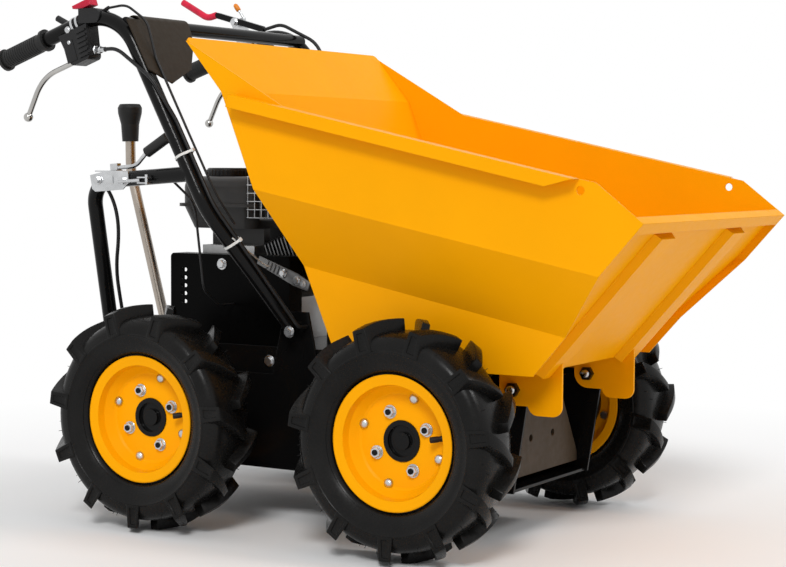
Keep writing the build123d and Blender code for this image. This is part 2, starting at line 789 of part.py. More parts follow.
def wall_line(inset):
    """The right side wall's section, drawn from the top down, an inset inside the outer face."""
    return [
        (-BIN_HALF + inset, SECTION_HIGH),
        (-BIN_HALF + inset, UPPER_FOLD),
        (-BIN_WAIST_HALF + inset, LOWER_FOLD),
        (-BIN_WAIST_HALF + BIN_TAPER + inset, SECTION_LOW),
    ]


RIM_SLOPE = atan2(GUSSET_Z - CORNER_Z, CORNER_X - GUSSET_X)
with BuildPart() as bin_side_right:
    with BuildSketch(SECTION_PLANE):
        with BuildLine():
            Polyline(*wall_line(0.0), *reversed(wall_line(SHEET)), close=True)
        make_face()
    extrude(amount=LENGTH, both=True)
    with BuildSketch(Plane.XZ):
        with BuildLine():
            Polyline(*BIN_OUTLINE, close=True)
        make_face()
    extrude(amount=2 * BIN_HALF, both=True, mode=Mode.INTERSECT)
    rim_start = (RIM_REAR_X, -BIN_HALF, GUSSET_Z + (GUSSET_X - RIM_REAR_X) * tan(RIM_SLOPE))
    rim_run = (RIM_FRONT_X - RIM_REAR_X) / cos(RIM_SLOPE)
    rim_way = Vector(cos(RIM_SLOPE), 0, -sin(RIM_SLOPE))
    with BuildSketch(Plane(origin=rim_start, x_dir=(0, 1, 0), z_dir=rim_way)):
        with BuildLine():
            Polyline(
                (0, 0),
                (-RIM_OUT, 0),
                (-RIM_OUT, -RIM_DROP),
                (-RIM_OUT + SHEET, -RIM_DROP),
                (-RIM_OUT + SHEET, -SHEET),
                (0, -SHEET),
                close=True,
            )
        make_face()
    extrude(amount=rim_run)
    rim_side = Plane(origin=rim_start, x_dir=rim_way, z_dir=(0, -1, 0))
    with BuildSketch(rim_side):
        with BuildLine():
            Polyline((rim_run, 0), (rim_run, -RIM_DROP), (rim_run - RIM_SLANT, -RIM_DROP), close=True)
        make_face()
    extrude(amount=RIM_OUT, mode=Mode.SUBTRACT)
    with BuildSketch(side_plane(-BIN_HALF)):
        with Locations((LASH_HOLE_X, LASH_HOLE_Z)):
            Circle(LASH_HOLE_RADIUS)
    extrude(amount=-SHEET, mode=Mode.SUBTRACT)
bin_side_right.part.label = "bin_side_right"
export_step(bin_side_right.part, "parts/bin_side_right.step")

with BuildPart() as bin_side_left:
    mirror(bin_side_right.part, about=Plane.XZ)
bin_side_left.part.label = "bin_side_left"
export_step(bin_side_left.part, "parts/bin_side_left.step")

# The centre sheet runs from the headboard's top round to the folded lip
FRONT_ANGLE = atan2(LIP_Z - FLOOR_Z, LIP_X - FLOOR_FRONT_X)
RECESS_X = FRONT_RECESS / sin(FRONT_ANGLE)
LIP_SLOPE = atan2(CORNER_Z - LIP_Z, LIP_X - CORNER_X)
LIP_BACK = FRONT_RECESS / sin(FRONT_ANGLE + LIP_SLOPE)
LIP_FOLD = SHEET / sin(FRONT_ANGLE + LIP_SLOPE)
FOLD_X = LIP_X - LIP_FOLD * cos(FRONT_ANGLE)
FOLD_Z = LIP_Z - LIP_FOLD * sin(FRONT_ANGLE)
STRIP_X = FOLD_X - LIP_FOLD * cos(LIP_SLOPE)
STRIP_Z = FOLD_Z + LIP_FOLD * sin(LIP_SLOPE)
with BuildPart() as bin_sheet:
    with BuildSketch(Plane.XZ):
        with BuildLine():
            sheet_line = Polyline(
                (HEAD_X, HEAD_Z),
                (HEAD_FOLD_X, HEAD_FOLD_Z),
                (FLOOR_REAR_X, FLOOR_Z),
                (FLOOR_FRONT_X - RECESS_X, FLOOR_Z),
                (FOLD_X - LIP_BACK * cos(LIP_SLOPE), FOLD_Z + LIP_BACK * sin(LIP_SLOPE)),
                (STRIP_X, STRIP_Z),
                (STRIP_X - LIP_DROP * cos(FRONT_ANGLE), STRIP_Z - LIP_DROP * sin(FRONT_ANGLE)),
            )
            offset(sheet_line, amount=SHEET, side=Side.LEFT, kind=Kind.INTERSECTION)
        make_face()
    extrude(amount=2 * BIN_HALF, both=True)
    with BuildSketch(SECTION_PLANE):
        with BuildLine():
            right = wall_line(SHEET)
            Polyline(*right, *[(-y, h) for y, h in reversed(right)], close=True)
        make_face()
    extrude(amount=LENGTH, both=True, mode=Mode.INTERSECT)
    top_face = bin_sheet.faces().sort_by(Axis.Z)[-1]
    fillet(top_face.edges().filter_by(Axis.Y, reverse=True), HEAD_CORNER)
bin_sheet.part.label = "bin_sheet"
export_step(bin_sheet.part, "parts/bin_sheet.step")

with BuildPart() as bin_ribs:
    rib_plane = Plane(
        origin=(FLOOR_FRONT_X - RECESS_X, -RIB_MIDDLE, FLOOR_Z),
        x_dir=(0, 1, 0),
        z_dir=(cos(FRONT_ANGLE), 0, sin(FRONT_ANGLE)),
    )
    with BuildSketch(rib_plane):
        with BuildLine():
            Polyline(
                (-RIB_WIDTH / 2, 0),
                (-RIB_FACE / 2, -FRONT_RECESS),
                (RIB_FACE / 2, -FRONT_RECESS),
                (RIB_WIDTH / 2, 0),
                close=True,
            )
        make_face()
    extrude(amount=(LIP_X - FLOOR_FRONT_X) / cos(FRONT_ANGLE) - LIP_DROP - 2 * SHEET)
    mirror(about=Plane.XZ)
bin_ribs.part.label = "bin_ribs"
export_step(bin_ribs.part, "parts/bin_ribs.step")

RIB_END_X = FLOOR_FRONT_X - RECESS_X + FRONT_RECESS * sin(FRONT_ANGLE)
RIB_END_Z = FLOOR_Z - FRONT_RECESS * cos(FRONT_ANGLE)
EAR_INNER = CHASSIS_HALF + EAR_GAP
with BuildPart() as bin_ear:
    with BuildSketch(side_plane(-EAR_INNER)) as ear_face:
        with BuildLine():
            Polyline(
                (PIVOT_X - EAR_LOBE_RADIUS, FLOOR_Z),
                (FLOOR_FRONT_X - RECESS_X, FLOOR_Z),
                (RIB_END_X, RIB_END_Z),
                (EAR_FRONT_X, RIB_END_Z + (EAR_FRONT_X - RIB_END_X) * tan(FRONT_ANGLE)),
                (EAR_FRONT_X, EAR_LOW_Z),
                (EAR_STEP_X, EAR_LOW_Z),
                (EAR_STEP_X - EAR_STEP, PIVOT_Z - EAR_LOBE_RADIUS),
                (PIVOT_X, PIVOT_Z - EAR_LOBE_RADIUS),
                (PIVOT_X - EAR_LOBE_RADIUS, PIVOT_Z),
                close=True,
            )
        make_face()
        fillet(ear_face.vertices().group_by(Axis.Y)[0], EAR_CORNER)
        with Locations((PIVOT_X, PIVOT_Z)):
            Circle(EAR_LOBE_RADIUS)
            Circle(PIVOT_RADIUS + PIVOT_PLAY, mode=Mode.SUBTRACT)
    extrude(amount=EAR)
with BuildPart() as bin_ears:
    with Locations((0, 0, 0), (0, PIVOT_PITCH, 0)):
        add(bin_ear.part)
bin_ears.part.label = "bin_ears"
export_step(bin_ears.part, "parts/bin_ears.step")

# Engine, its crankshaft across the machine and its cylinder leaning forward
with BuildPart() as crankcase:
    with BuildSketch(side_plane(-CASE_HALF)):
        with Locations((CRANK_X, CRANK_Z)):
            Circle(CASE_RADIUS)
        with Locations((CRANK_X, DECK_Z)):
            Rectangle(CASE_FOOT, CRANK_Z - DECK_Z, align=(Align.CENTER, Align.MIN))
        with Locations((CRANK_X - CASE_TOP_BACK, CRANK_Z)):
            Rectangle(CASE_TOP, CASE_TOP_Z - CRANK_Z, align=(Align.CENTER, Align.MIN))
    extrude(amount=-2 * CASE_HALF)
crankcase.part.label = "crankcase"
export_step(crankcase.part, "parts/crankcase.step")

BORE_WAY = Vector(cos(radians(CYLINDER_TILT)), 0, sin(radians(CYLINDER_TILT)))


def bore_plane(reach):
    """A plane across the cylinder, some way out from the crankshaft."""
    middle = Vector(CRANK_X, CYLINDER_Y, CRANK_Z) + BORE_WAY * reach
    return Plane(origin=middle, x_dir=(0, 1, 0), z_dir=BORE_WAY)


FIN_RUN = FIN_COUNT * FIN_PITCH
with BuildPart() as cylinder:
    with BuildSketch(bore_plane(CASE_RADIUS + TOUCH_GAP)):
        RectangleRounded(BORE_BLOCK, BORE_BLOCK, BORE_CORNER)
    extrude(amount=FIN_RUN)
    for index in range(FIN_COUNT):
        with BuildSketch(bore_plane(CASE_RADIUS + TOUCH_GAP + (index + 0.5) * FIN_PITCH)):
            RectangleRounded(BORE_BLOCK + 2 * FIN_REACH, BORE_BLOCK + 2 * FIN_REACH, BORE_CORNER)
        extrude(amount=FIN)
cylinder.part.label = "cylinder"
export_step(cylinder.part, "parts/cylinder.step")

with BuildPart() as head_cover:
    with BuildSketch(bore_plane(CASE_RADIUS + TOUCH_GAP + FIN_RUN)):
        RectangleRounded(HEAD_WIDTH, HEAD_HEIGHT, BORE_CORNER)
    extrude(amount=HEAD_COVER)
    fillet(head_cover.faces().sort_by(Axis.X)[-1].edges(), HEAD_ROUND)
head_cover.part.label = "head_cover"
export_step(head_cover.part, "parts/head_cover.step")

TANK_LENGTH = TANK_FRONT_X - TANK_REAR_X
TANK_WIDTH = TANK_LEFT_Y - TANK_RIGHT_Y
TANK_X = (TANK_FRONT_X + TANK_REAR_X) / 2
TANK_Y = (TANK_LEFT_Y + TANK_RIGHT_Y) / 2
with BuildPart() as fuel_tank:
    with BuildSketch(Plane.XY.offset(TANK_SEAM_Z)):
        with Locations((TANK_X, TANK_Y)):
            RectangleRounded(TANK_LENGTH, TANK_WIDTH, TANK_CORNER)
    extrude(amount=TANK_HIGH_Z - TANK_SEAM_Z)
    fillet(fuel_tank.faces().sort_by(Axis.Z)[-1].edges(), TANK_ROUND)
    for height, inset in ((TANK_LOW_Z, TANK_INSET), (TANK_SEAM_Z, 0.0)):
        with BuildSketch(Plane.XY.offset(height)):
            with Locations((TANK_X, TANK_Y)):
                RectangleRounded(TANK_LENGTH - 2 * inset, TANK_WIDTH - 2 * inset, TANK_CORNER - inset / 2)
    loft()
    with BuildSketch(Plane.XY.offset(TANK_SEAM_Z)):
        with Locations((TANK_X, TANK_Y)):
            RectangleRounded(TANK_LENGTH + 2 * TANK_SEAM_OUT, TANK_WIDTH + 2 * TANK_SEAM_OUT, TANK_CORNER)
    extrude(amount=TANK_SEAM)
    with BuildSketch(Plane.XY.offset(CASE_TOP_Z)):
        with Locations((CRANK_X - CASE_TOP_BACK, 0)):
            with GridLocations(0, 2 * TANK_FOOT_OUT, 1, 2):
                Rectangle(CASE_TOP, TANK_FOOT)
    extrude(amount=TANK_LOW_Z - CASE_TOP_Z)
fuel_tank.part.label = "fuel_tank"
export_step(fuel_tank.part, "parts/fuel_tank.step")

with BuildPart() as fuel_cap:
    with BuildSketch(Plane.XY.offset(TANK_HIGH_Z)):
        with Locations((CAP_X, CAP_Y)):
            Circle(CAP_RADIUS)
    extrude(amount=CAP_HEIGHT)
    fillet(fuel_cap.edges().sort_by(Axis.Z)[-1], CAP_ROUND)
fuel_cap.part.label = "fuel_cap"
export_step(fuel_cap.part, "parts/fuel_cap.step")

HEAD_UP = Vector(-sin(radians(CYLINDER_TILT)), 0, cos(radians(CYLINDER_TILT)))
HEAD_MIDDLE = Vector(CRANK_X, CYLINDER_Y, CRANK_Z) + BORE_WAY * (CASE_RADIUS + FIN_RUN + HEAD_COVER / 2)
PORT = HEAD_MIDDLE + HEAD_UP * (HEAD_HEIGHT / 2 + TOUCH_GAP)
with BuildPart() as silencer:
    with BuildSketch(Plane.XY.offset(EXHAUST_LOW_Z)):
        with Locations(((EXHAUST_REAR_X + EXHAUST_FRONT_X) / 2, (EXHAUST_RIGHT_Y + EXHAUST_LEFT_Y) / 2)):
            RectangleRounded(
                EXHAUST_FRONT_X - EXHAUST_REAR_X, EXHAUST_LEFT_Y - EXHAUST_RIGHT_Y, EXHAUST_CORNER
            )
    extrude(amount=EXHAUST_HIGH_Z - EXHAUST_LOW_Z)
    add(straight_bar(tuple(PORT), tuple(PORT + HEAD_UP * PORT_RUN), PORT_RADIUS))
silencer.part.label = "silencer"
export_step(silencer.part, "parts/silencer.step")

with BuildPart() as air_filter:
    with BuildSketch(Plane.XY.offset(EXHAUST_LOW_Z)):
        with Locations(((EXHAUST_REAR_X + EXHAUST_FRONT_X) / 2, (FILTER_RIGHT_Y + FILTER_LEFT_Y) / 2)):
            RectangleRounded(
                EXHAUST_FRONT_X - EXHAUST_REAR_X, FILTER_LEFT_Y - FILTER_RIGHT_Y, EXHAUST_CORNER
            )
    extrude(amount=FILTER_HIGH_Z - EXHAUST_LOW_Z)
    fillet(air_filter.faces().sort_by(Axis.Z)[-1].edges(), CAP_ROUND)
    intake = HEAD_MIDDLE + Vector(0, HEAD_WIDTH / 2 + TOUCH_GAP, 0)
    intake_turn = (intake.X, (FILTER_RIGHT_Y + FILTER_LEFT_Y) / 2, intake.Z)
    intake_top = (intake_turn[0], intake_turn[1], EXHAUST_LOW_Z + INTAKE_RADIUS)
    add(bent_tube([tuple(intake), intake_turn, intake_top], [INTAKE_BEND], INTAKE_RADIUS))
air_filter.part.label = "air_filter"
export_step(air_filter.part, "parts/air_filter.step")

with BuildPart() as recoil_starter:
    with BuildSketch(side_plane(CASE_HALF)):
        with Locations((CRANK_X, CRANK_Z)):
            Circle(STARTER_RADIUS)
    extrude(amount=-STARTER_DEPTH)
    chamfer(recoil_starter.faces().sort_by(Axis.Y)[-1].edges(), STARTER_SLOPE)
recoil_starter.part.label = "recoil_starter"
export_step(recoil_starter.part, "parts/recoil_starter.step")

# Belt cover, a shallow sheet box that is open to the engine
COVER_Y = -CASE_HALF - COVER_GAP - COVER_DEPTH
COVER_X = (COVER_REAR_X + COVER_FRONT_X) / 2
COVER_Z = (DECK_Z + COVER_HIGH_Z) / 2
COVER_LENGTH = COVER_FRONT_X - COVER_REAR_X
COVER_HEIGHT = COVER_HIGH_Z - DECK_Z
with BuildPart() as belt_cover:
    for sheet, mode in ((0.0, Mode.ADD), (COVER_SHEET, Mode.SUBTRACT)):
        with BuildSketch(side_plane(COVER_Y + sheet)) as cover_face:
            with Locations((COVER_X, COVER_Z)):
                Rectangle(COVER_LENGTH - 2 * sheet, COVER_HEIGHT - 2 * sheet)
            fillet(cover_face.vertices().group_by(Axis.Y)[-1], COVER_CORNER - sheet)
        extrude(amount=-COVER_DEPTH, mode=mode)
    with BuildSketch(side_plane(COVER_Y)):
        with Locations((SLOT_X, SLOT_Z + (SLOT_COUNT - 1) / 2 * SLOT_PITCH)):
            with GridLocations(0, SLOT_PITCH, 1, SLOT_COUNT):
                SlotOverall(SLOT_LENGTH, SLOT_WIDTH)
    extrude(amount=-COVER_SHEET, mode=Mode.SUBTRACT)
belt_cover.part.label = "belt_cover"
export_step(belt_cover.part, "parts/belt_cover.step")

# Guard round the silencer, two sheets with square openings
GUARD_X = (EXHAUST_REAR_X + GUARD_FRONT_X) / 2
GUARD_Z = (GUARD_LOW_Z + GUARD_HIGH_Z) / 2
GUARD_LEFT_Y = EXHAUST_LEFT_Y
GUARD_LENGTH = GUARD_FRONT_X - EXHAUST_REAR_X
GUARD_HEIGHT = GUARD_HIGH_Z - GUARD_LOW_Z
GUARD_DEPTH = GUARD_LEFT_Y - GUARD_RIGHT_Y
GUARD_Y = (GUARD_LEFT_Y + GUARD_RIGHT_Y) / 2
GUARD_SHEETS = [
    # plane, height in the sketch
    (Plane(origin=(GUARD_X, GUARD_RIGHT_Y, GUARD_Z), x_dir=(1, 0, 0), z_dir=(0, 1, 0)), GUARD_HEIGHT),
    (Plane(origin=(GUARD_X, GUARD_Y, GUARD_HIGH_Z), x_dir=(1, 0, 0), z_dir=(0, 0, -1)), GUARD_DEPTH),
]
with BuildPart() as silencer_guard:
    columns = int(GUARD_LENGTH // GUARD_PITCH)
    for plane, height in GUARD_SHEETS:
        rows = int(height // GUARD_PITCH)
        with BuildSketch(plane):
            Rectangle(GUARD_LENGTH, height)
            with GridLocations(GUARD_PITCH, GUARD_PITCH, columns, rows):
                Rectangle(GUARD_OPENING, GUARD_OPENING, mode=Mode.SUBTRACT)
        extrude(amount=GUARD_SHEET)
    with BuildSketch(side_plane(GUARD_RIGHT_Y + GUARD_SHEET)):
        with Locations((GUARD_X, GUARD_Z)):
            with GridLocations(2 * GUARD_POST_OUT, 0, 2, 1):
                Circle(GUARD_POST_RADIUS)
    extrude(amount=-(EXHAUST_RIGHT_Y - TOUCH_GAP - GUARD_RIGHT_Y - GUARD_SHEET))
silencer_guard.part.label = "silencer_guard"
export_step(silencer_guard.part, "parts/silencer_guard.step")

# Handlebar, one welded frame of two uprights, a cross tube and two rear braces
GRIP_ANGLE = radians(GRIP_SLOPE)
GRIP_END_X = -LENGTH / 2 + GRIP_COLLAR_RADIUS * sin(GRIP_ANGLE)
GRIP_END_Z = HANDLE_TOP_Z - (HANDLE_TOP_X - GRIP_END_X) * tan(GRIP_ANGLE)
GRIP_WAY = Vector(cos(GRIP_ANGLE), 0, sin(GRIP_ANGLE))
GRIP_END = Vector(GRIP_END_X, -HANDLE_HALF, GRIP_END_Z)
TUBE_START = GRIP_END + GRIP_WAY * GRIP_WALL
HANDLE_TOP = (HANDLE_TOP_X, -HANDLE_HALF, HANDLE_TOP_Z)
HANDLE_BEND = (HANDLE_BEND_X, -HANDLE_HALF, HANDLE_BEND_Z)
HANDLE_FOOT = (HANDLE_FOOT_X, -HANDLE_FOOT_HALF, HANDLE_FOOT_Z)
UPRIGHT_LINE = [tuple(TUBE_START), HANDLE_TOP, HANDLE_BEND, HANDLE_FOOT]
UPRIGHT_BENDS = [HANDLE_TOP_RADIUS, HANDLE_BEND_RADIUS]
CROSS = between(HANDLE_TOP, HANDLE_BEND, CROSS_DROP / (HANDLE_TOP_Z - HANDLE_BEND_Z))
BRACE_SHARE = (HANDLE_TOP_Z - BRACE_HIGH_Z) / (HANDLE_TOP_Z - HANDLE_BEND_Z)
BRACE_START = between(HANDLE_TOP, HANDLE_BEND, BRACE_SHARE)
BRACE_CORNER = (BRACE_CORNER_X, -BRACE_CORNER_HALF, BRACE_CORNER_Z)
BRACE_FOOT = (BRACE_FOOT_X, -HANDLE_FOOT_HALF, BRACE_FOOT_Z)
with BuildPart() as handle_frame:
    add(bent_tube(UPRIGHT_LINE, UPRIGHT_BENDS, TUBE_RADIUS))
    add(bent_tube([BRACE_START, BRACE_CORNER, BRACE_FOOT], [BRACE_BEND_RADIUS], TUBE_RADIUS))
    for x, z in ((HANDLE_FOOT_X, HANDLE_FOOT_Z), (BRACE_FOOT_X, BRACE_FOOT_Z)):
        with BuildSketch(side_plane(-CHASSIS_HALF)):
            with Locations((x, z)):
                Circle(FOOT_BOSS_RADIUS)
        extrude(amount=HANDLE_FOOT_HALF - CHASSIS_HALF)
    mirror(about=Plane.XZ)
    add(straight_bar(CROSS, (CROSS[0], -CROSS[1], CROSS[2]), CROSS_TUBE_RADIUS))
handle_frame.part.label = "handle_frame"
export_step(handle_frame.part, "parts/handle_frame.step")


def grip_plane(along, side=-1):
    """A plane across a grip's tube, some way in from its rear end."""
    middle = Vector(GRIP_END_X, side * HANDLE_HALF, GRIP_END_Z) + GRIP_WAY * along
    return Plane(origin=middle, x_dir=(0, 1, 0), z_dir=GRIP_WAY)


def grip_side(y):
    """An upright plane along a grip, facing right: the way in across, the height over the tube up."""
    return Plane(origin=(GRIP_END_X, y, GRIP_END_Z), x_dir=GRIP_WAY, z_dir=(0, -1, 0))


def grip_point(along, high, y):
    """The place some way in along a grip and some way over its tube's middle."""
    return tuple(grip_side(y).from_local_coords((along, high, 0)))


# The room that the upright's tube takes from what is clamped to it
TUBE_ROOM = bent_tube(UPRIGHT_LINE, UPRIGHT_BENDS, TUBE_RADIUS + TOUCH_GAP)


with BuildPart() as grips:
    with BuildSketch(grip_plane(0.0)):
        Circle(GRIP_RADIUS)
    extrude(amount=GRIP_LENGTH)
    for along in (0.0, GRIP_LENGTH - GRIP_COLLAR):
        with BuildSketch(grip_plane(along)):
            Circle(GRIP_COLLAR_RADIUS)
        extrude(amount=GRIP_COLLAR)
    with BuildSketch(grip_plane(GRIP_WALL - TOUCH_GAP)):
        Circle(TUBE_RADIUS + TOUCH_GAP)
    extrude(amount=GRIP_LENGTH, mode=Mode.SUBTRACT)
    mirror(about=Plane.XZ)
grips.part.label = "grips"
export_step(grips.part, "parts/grips.step")

with BuildPart() as lever_boxes:
    with BuildSketch(grip_side(-HANDLE_HALF)) as box_face:
        with BuildLine():
            Polyline(
                (LEVER_BOX_START, LEVER_BOX_HIGH),
                (LEVER_BOX_END, LEVER_BOX_HIGH),
                (LEVER_BOX_END - LEVER_BOX_SLANT, LEVER_BOX_LOW),
                (LEVER_BOX_START + LEVER_BOX_SLANT, LEVER_BOX_LOW),
                close=True,
            )
        make_face()
        fillet(box_face.vertices().group_by(Axis.Y)[0], LEVER_BOX_CORNER)
    extrude(amount=LEVER_BOX_WIDTH / 2, both=True)
    with BuildSketch(grip_plane(LEVER_BOX_START)):
        with Locations((0, LEVER_LEVEL)):
            Rectangle(2 * (LEVER_RADIUS + LEVER_SLOT_ROOM), 2 * (LEVER_RADIUS + LEVER_SLOT_ROOM))
    extrude(amount=LEVER_ROOT - LEVER_BOX_START + TOUCH_GAP, mode=Mode.SUBTRACT)
    add(TUBE_ROOM, mode=Mode.SUBTRACT)
    mirror(about=Plane.XZ)
lever_boxes.part.label = "lever_boxes"
export_step(lever_boxes.part, "parts/lever_boxes.step")

with BuildPart() as steering_levers:
    lever_line = [
        grip_point(LEVER_ROOT, LEVER_LEVEL, -HANDLE_HALF),
        grip_point(LEVER_TURN, LEVER_LEVEL, -HANDLE_HALF),
        grip_point(LEVER_END, LEVER_END_LEVEL, -HANDLE_HALF),
    ]
    add(bent_tube(lever_line, [LEVER_BEND_RADIUS], LEVER_RADIUS))
    with Locations(lever_line[-1]):
        Sphere(LEVER_BALL_RADIUS, rotation=(90, 0, 0))
    mirror(about=Plane.XZ)
steering_levers.part.label = "steering_levers"
export_step(steering_levers.part, "parts/steering_levers.step")

# Stop switch on the bend of the right upright
SWITCH_X = HANDLE_TOP_X - SWITCH_BACK
SWITCH_HIGH_Z = HANDLE_TOP_Z - SWITCH_DROP
with BuildPart() as stop_switch:
    with BuildSketch(Plane.XY.offset(SWITCH_HIGH_Z)):
        with Locations((SWITCH_X, -HANDLE_HALF)):
            Rectangle(SWITCH_LENGTH, SWITCH_WIDTH)
    extrude(amount=-SWITCH_HEIGHT)
    with BuildSketch(side_plane(-HANDLE_HALF)):
        with Locations((SWITCH_X + SWITCH_LENGTH / 2, SWITCH_HIGH_Z - SWITCH_HEIGHT / 2)):
            Circle(SWITCH_HEIGHT / 2)
    extrude(amount=SWITCH_WIDTH / 2, both=True)
    add(TUBE_ROOM, mode=Mode.SUBTRACT)
stop_switch.part.label = "stop_switch"
export_step(stop_switch.part, "parts/stop_switch.step")

with BuildPart() as stop_button:
    button_low = (SWITCH_X - BUTTON_BACK, -HANDLE_HALF, SWITCH_HIGH_Z)
    with BuildSketch(Plane(origin=button_low, x_dir=GRIP_WAY, z_dir=(0, -1, 0))):
        Rectangle(BUTTON_LENGTH, BUTTON_HEIGHT, align=(Align.CENTER, Align.MIN))
    extrude(amount=BUTTON_WIDTH / 2, both=True)
    with BuildSketch(Plane.XY.offset(SWITCH_HIGH_Z + TOUCH_GAP)):
        with Locations((SWITCH_X, -HANDLE_HALF)):
            Rectangle(2 * BUTTON_LENGTH, 2 * BUTTON_WIDTH)
    extrude(amount=-BUTTON_LENGTH, mode=Mode.SUBTRACT)
stop_button.part.label = "stop_button"
export_step(stop_button.part, "parts/stop_button.step")

# Throttle lever on the inside of the right tube
with BuildPart() as throttle_lever:
    with BuildSketch(grip_plane(THROTTLE_START)):
        with Locations((THROTTLE_OUT - THROTTLE_BLOCK / 2, 0)):
            Rectangle(THROTTLE_BLOCK, -2 * LEVER_BOX_HIGH - 4 * TOUCH_GAP)
    extrude(amount=THROTTLE_LENGTH)
    throttle_y = THROTTLE_OUT - HANDLE_HALF
    throttle_foot = grip_point(THROTTLE_START + THROTTLE_LENGTH / 2, 0.0, throttle_y)
    throttle_top = grip_point(THROTTLE_START - THROTTLE_RUN + THROTTLE_RADIUS, THROTTLE_RISE, throttle_y)
    add(straight_bar(throttle_foot, throttle_top, THROTTLE_RADIUS))
    add(TUBE_ROOM, mode=Mode.SUBTRACT)
throttle_lever.part.label = "throttle_lever"
export_step(throttle_lever.part, "parts/throttle_lever.step")

# Drive lever over the left grip: a clamped bracket, a flat arm and a sleeved bar
DRIVE_Y = HANDLE_HALF - DRIVE_IN
TAB_Y = DRIVE_Y + DRIVE_ARM / 2 + TOUCH_GAP
with BuildPart() as drive_bracket:
    with BuildSketch(grip_plane(DRIVE_TAB_START, 1)):
        Circle(TUBE_RADIUS + DRIVE_RING)
        with Locations((0, LEVER_BOX_HIGH + TOUCH_GAP)):
            Rectangle(
                LEVER_BOX_WIDTH + DRIVE_RING,
                TUBE_RADIUS,
                align=(Align.CENTER, Align.MAX),
                mode=Mode.SUBTRACT,
            )
    extrude(amount=DRIVE_TAB_END - DRIVE_TAB_START)
    with BuildSketch(grip_side(TAB_Y)):
        with Locations(((DRIVE_TAB_START + DRIVE_TAB_END) / 2, 0)):
            Rectangle(DRIVE_TAB_END - DRIVE_TAB_START, DRIVE_TAB_HIGH, align=(Align.CENTER, Align.MIN))
    extrude(amount=-DRIVE_TAB)
    with BuildSketch(grip_plane(DRIVE_TAB_START, 1)):
        Circle(TUBE_RADIUS + TOUCH_GAP)
    extrude(amount=DRIVE_TAB_END - DRIVE_TAB_START, mode=Mode.SUBTRACT)
drive_bracket.part.label = "drive_bracket"
export_step(drive_bracket.part, "parts/drive_bracket.step")

with BuildPart() as drive_arm:
    with BuildSketch(grip_side(DRIVE_Y)) as arm_face:
        with BuildLine():
            Polyline(
                (DRIVE_ARM_START, DRIVE_ARM_HIGH + DRIVE_ARM_HEIGHT / 2),
                (DRIVE_ARM_START, DRIVE_ARM_HIGH - DRIVE_ARM_HEIGHT / 2),
                (DRIVE_ARM_END, DRIVE_ARM_LOW - DRIVE_ARM_HEIGHT / 2),
                (DRIVE_ARM_END, DRIVE_ARM_LOW + DRIVE_ARM_HEIGHT / 2),
                close=True,
            )
        make_face()
        fillet(arm_face.vertices(), DRIVE_ARM_HEIGHT / 3)
    extrude(amount=DRIVE_ARM / 2, both=True)
drive_arm.part.label = "drive_arm"
export_step(drive_arm.part, "parts/drive_arm.step")

DRIVE_LINE = [
    grip_point(DRIVE_ARM_START - TOUCH_GAP, DRIVE_ARM_HIGH, DRIVE_Y),
    grip_point(DRIVE_TURN, DRIVE_TURN_HIGH, DRIVE_Y),
    grip_point(DRIVE_TIP, DRIVE_TIP_HIGH, DRIVE_Y),
]
with BuildPart() as drive_lever:
    add(bent_tube(DRIVE_LINE, [DRIVE_BEND_RADIUS], DRIVE_RADIUS))
drive_lever.part.label = "drive_lever"
export_step(drive_lever.part, "parts/drive_lever.step")

# Sheet that hangs over the cross tube beside the right upright
UPRIGHT_WAY = (Vector(*HANDLE_BEND) - Vector(*HANDLE_TOP)).normalized()
UPRIGHT_FRONT = UPRIGHT_WAY.cross(Vector(0, 1, 0))
CONSOLE_OUT = TUBE_RADIUS + TOUCH_GAP
console_top = Vector(CROSS[0], 0, CROSS[2]) + UPRIGHT_FRONT * CONSOLE_OUT
CONSOLE_PLANE = Plane(origin=console_top, x_dir=(0, 1, 0), z_dir=UPRIGHT_FRONT)
with BuildPart() as console_panel:
    with BuildSketch(CONSOLE_PLANE):
        with BuildLine():
            Polyline(*[(y, -down) for y, down in CONSOLE_OUTLINE], close=True)
        make_face()
    extrude(amount=CONSOLE_SHEET)
    wrap_left = CONSOLE_OUTLINE[1][0]
    wrap_right = -HANDLE_HALF + TUBE_RADIUS + CONSOLE_WRAP_GAP
    wrap_middle = (CROSS[0], (wrap_left + wrap_right) / 2, CROSS[2])
    with BuildSketch(Plane(origin=wrap_middle, x_dir=UPRIGHT_FRONT, z_dir=(0, 1, 0))):
        Circle(CONSOLE_OUT + CONSOLE_SHEET)
        Circle(CONSOLE_OUT, mode=Mode.SUBTRACT)
        with Locations((0, 2 * CONSOLE_OUT)):
            Rectangle(8 * CONSOLE_OUT, 4 * CONSOLE_OUT, mode=Mode.SUBTRACT)
    extrude(amount=(wrap_left - wrap_right) / 2, both=True)
console_panel.part.label = "console_panel"
export_step(console_panel.part, "parts/console_panel.step")

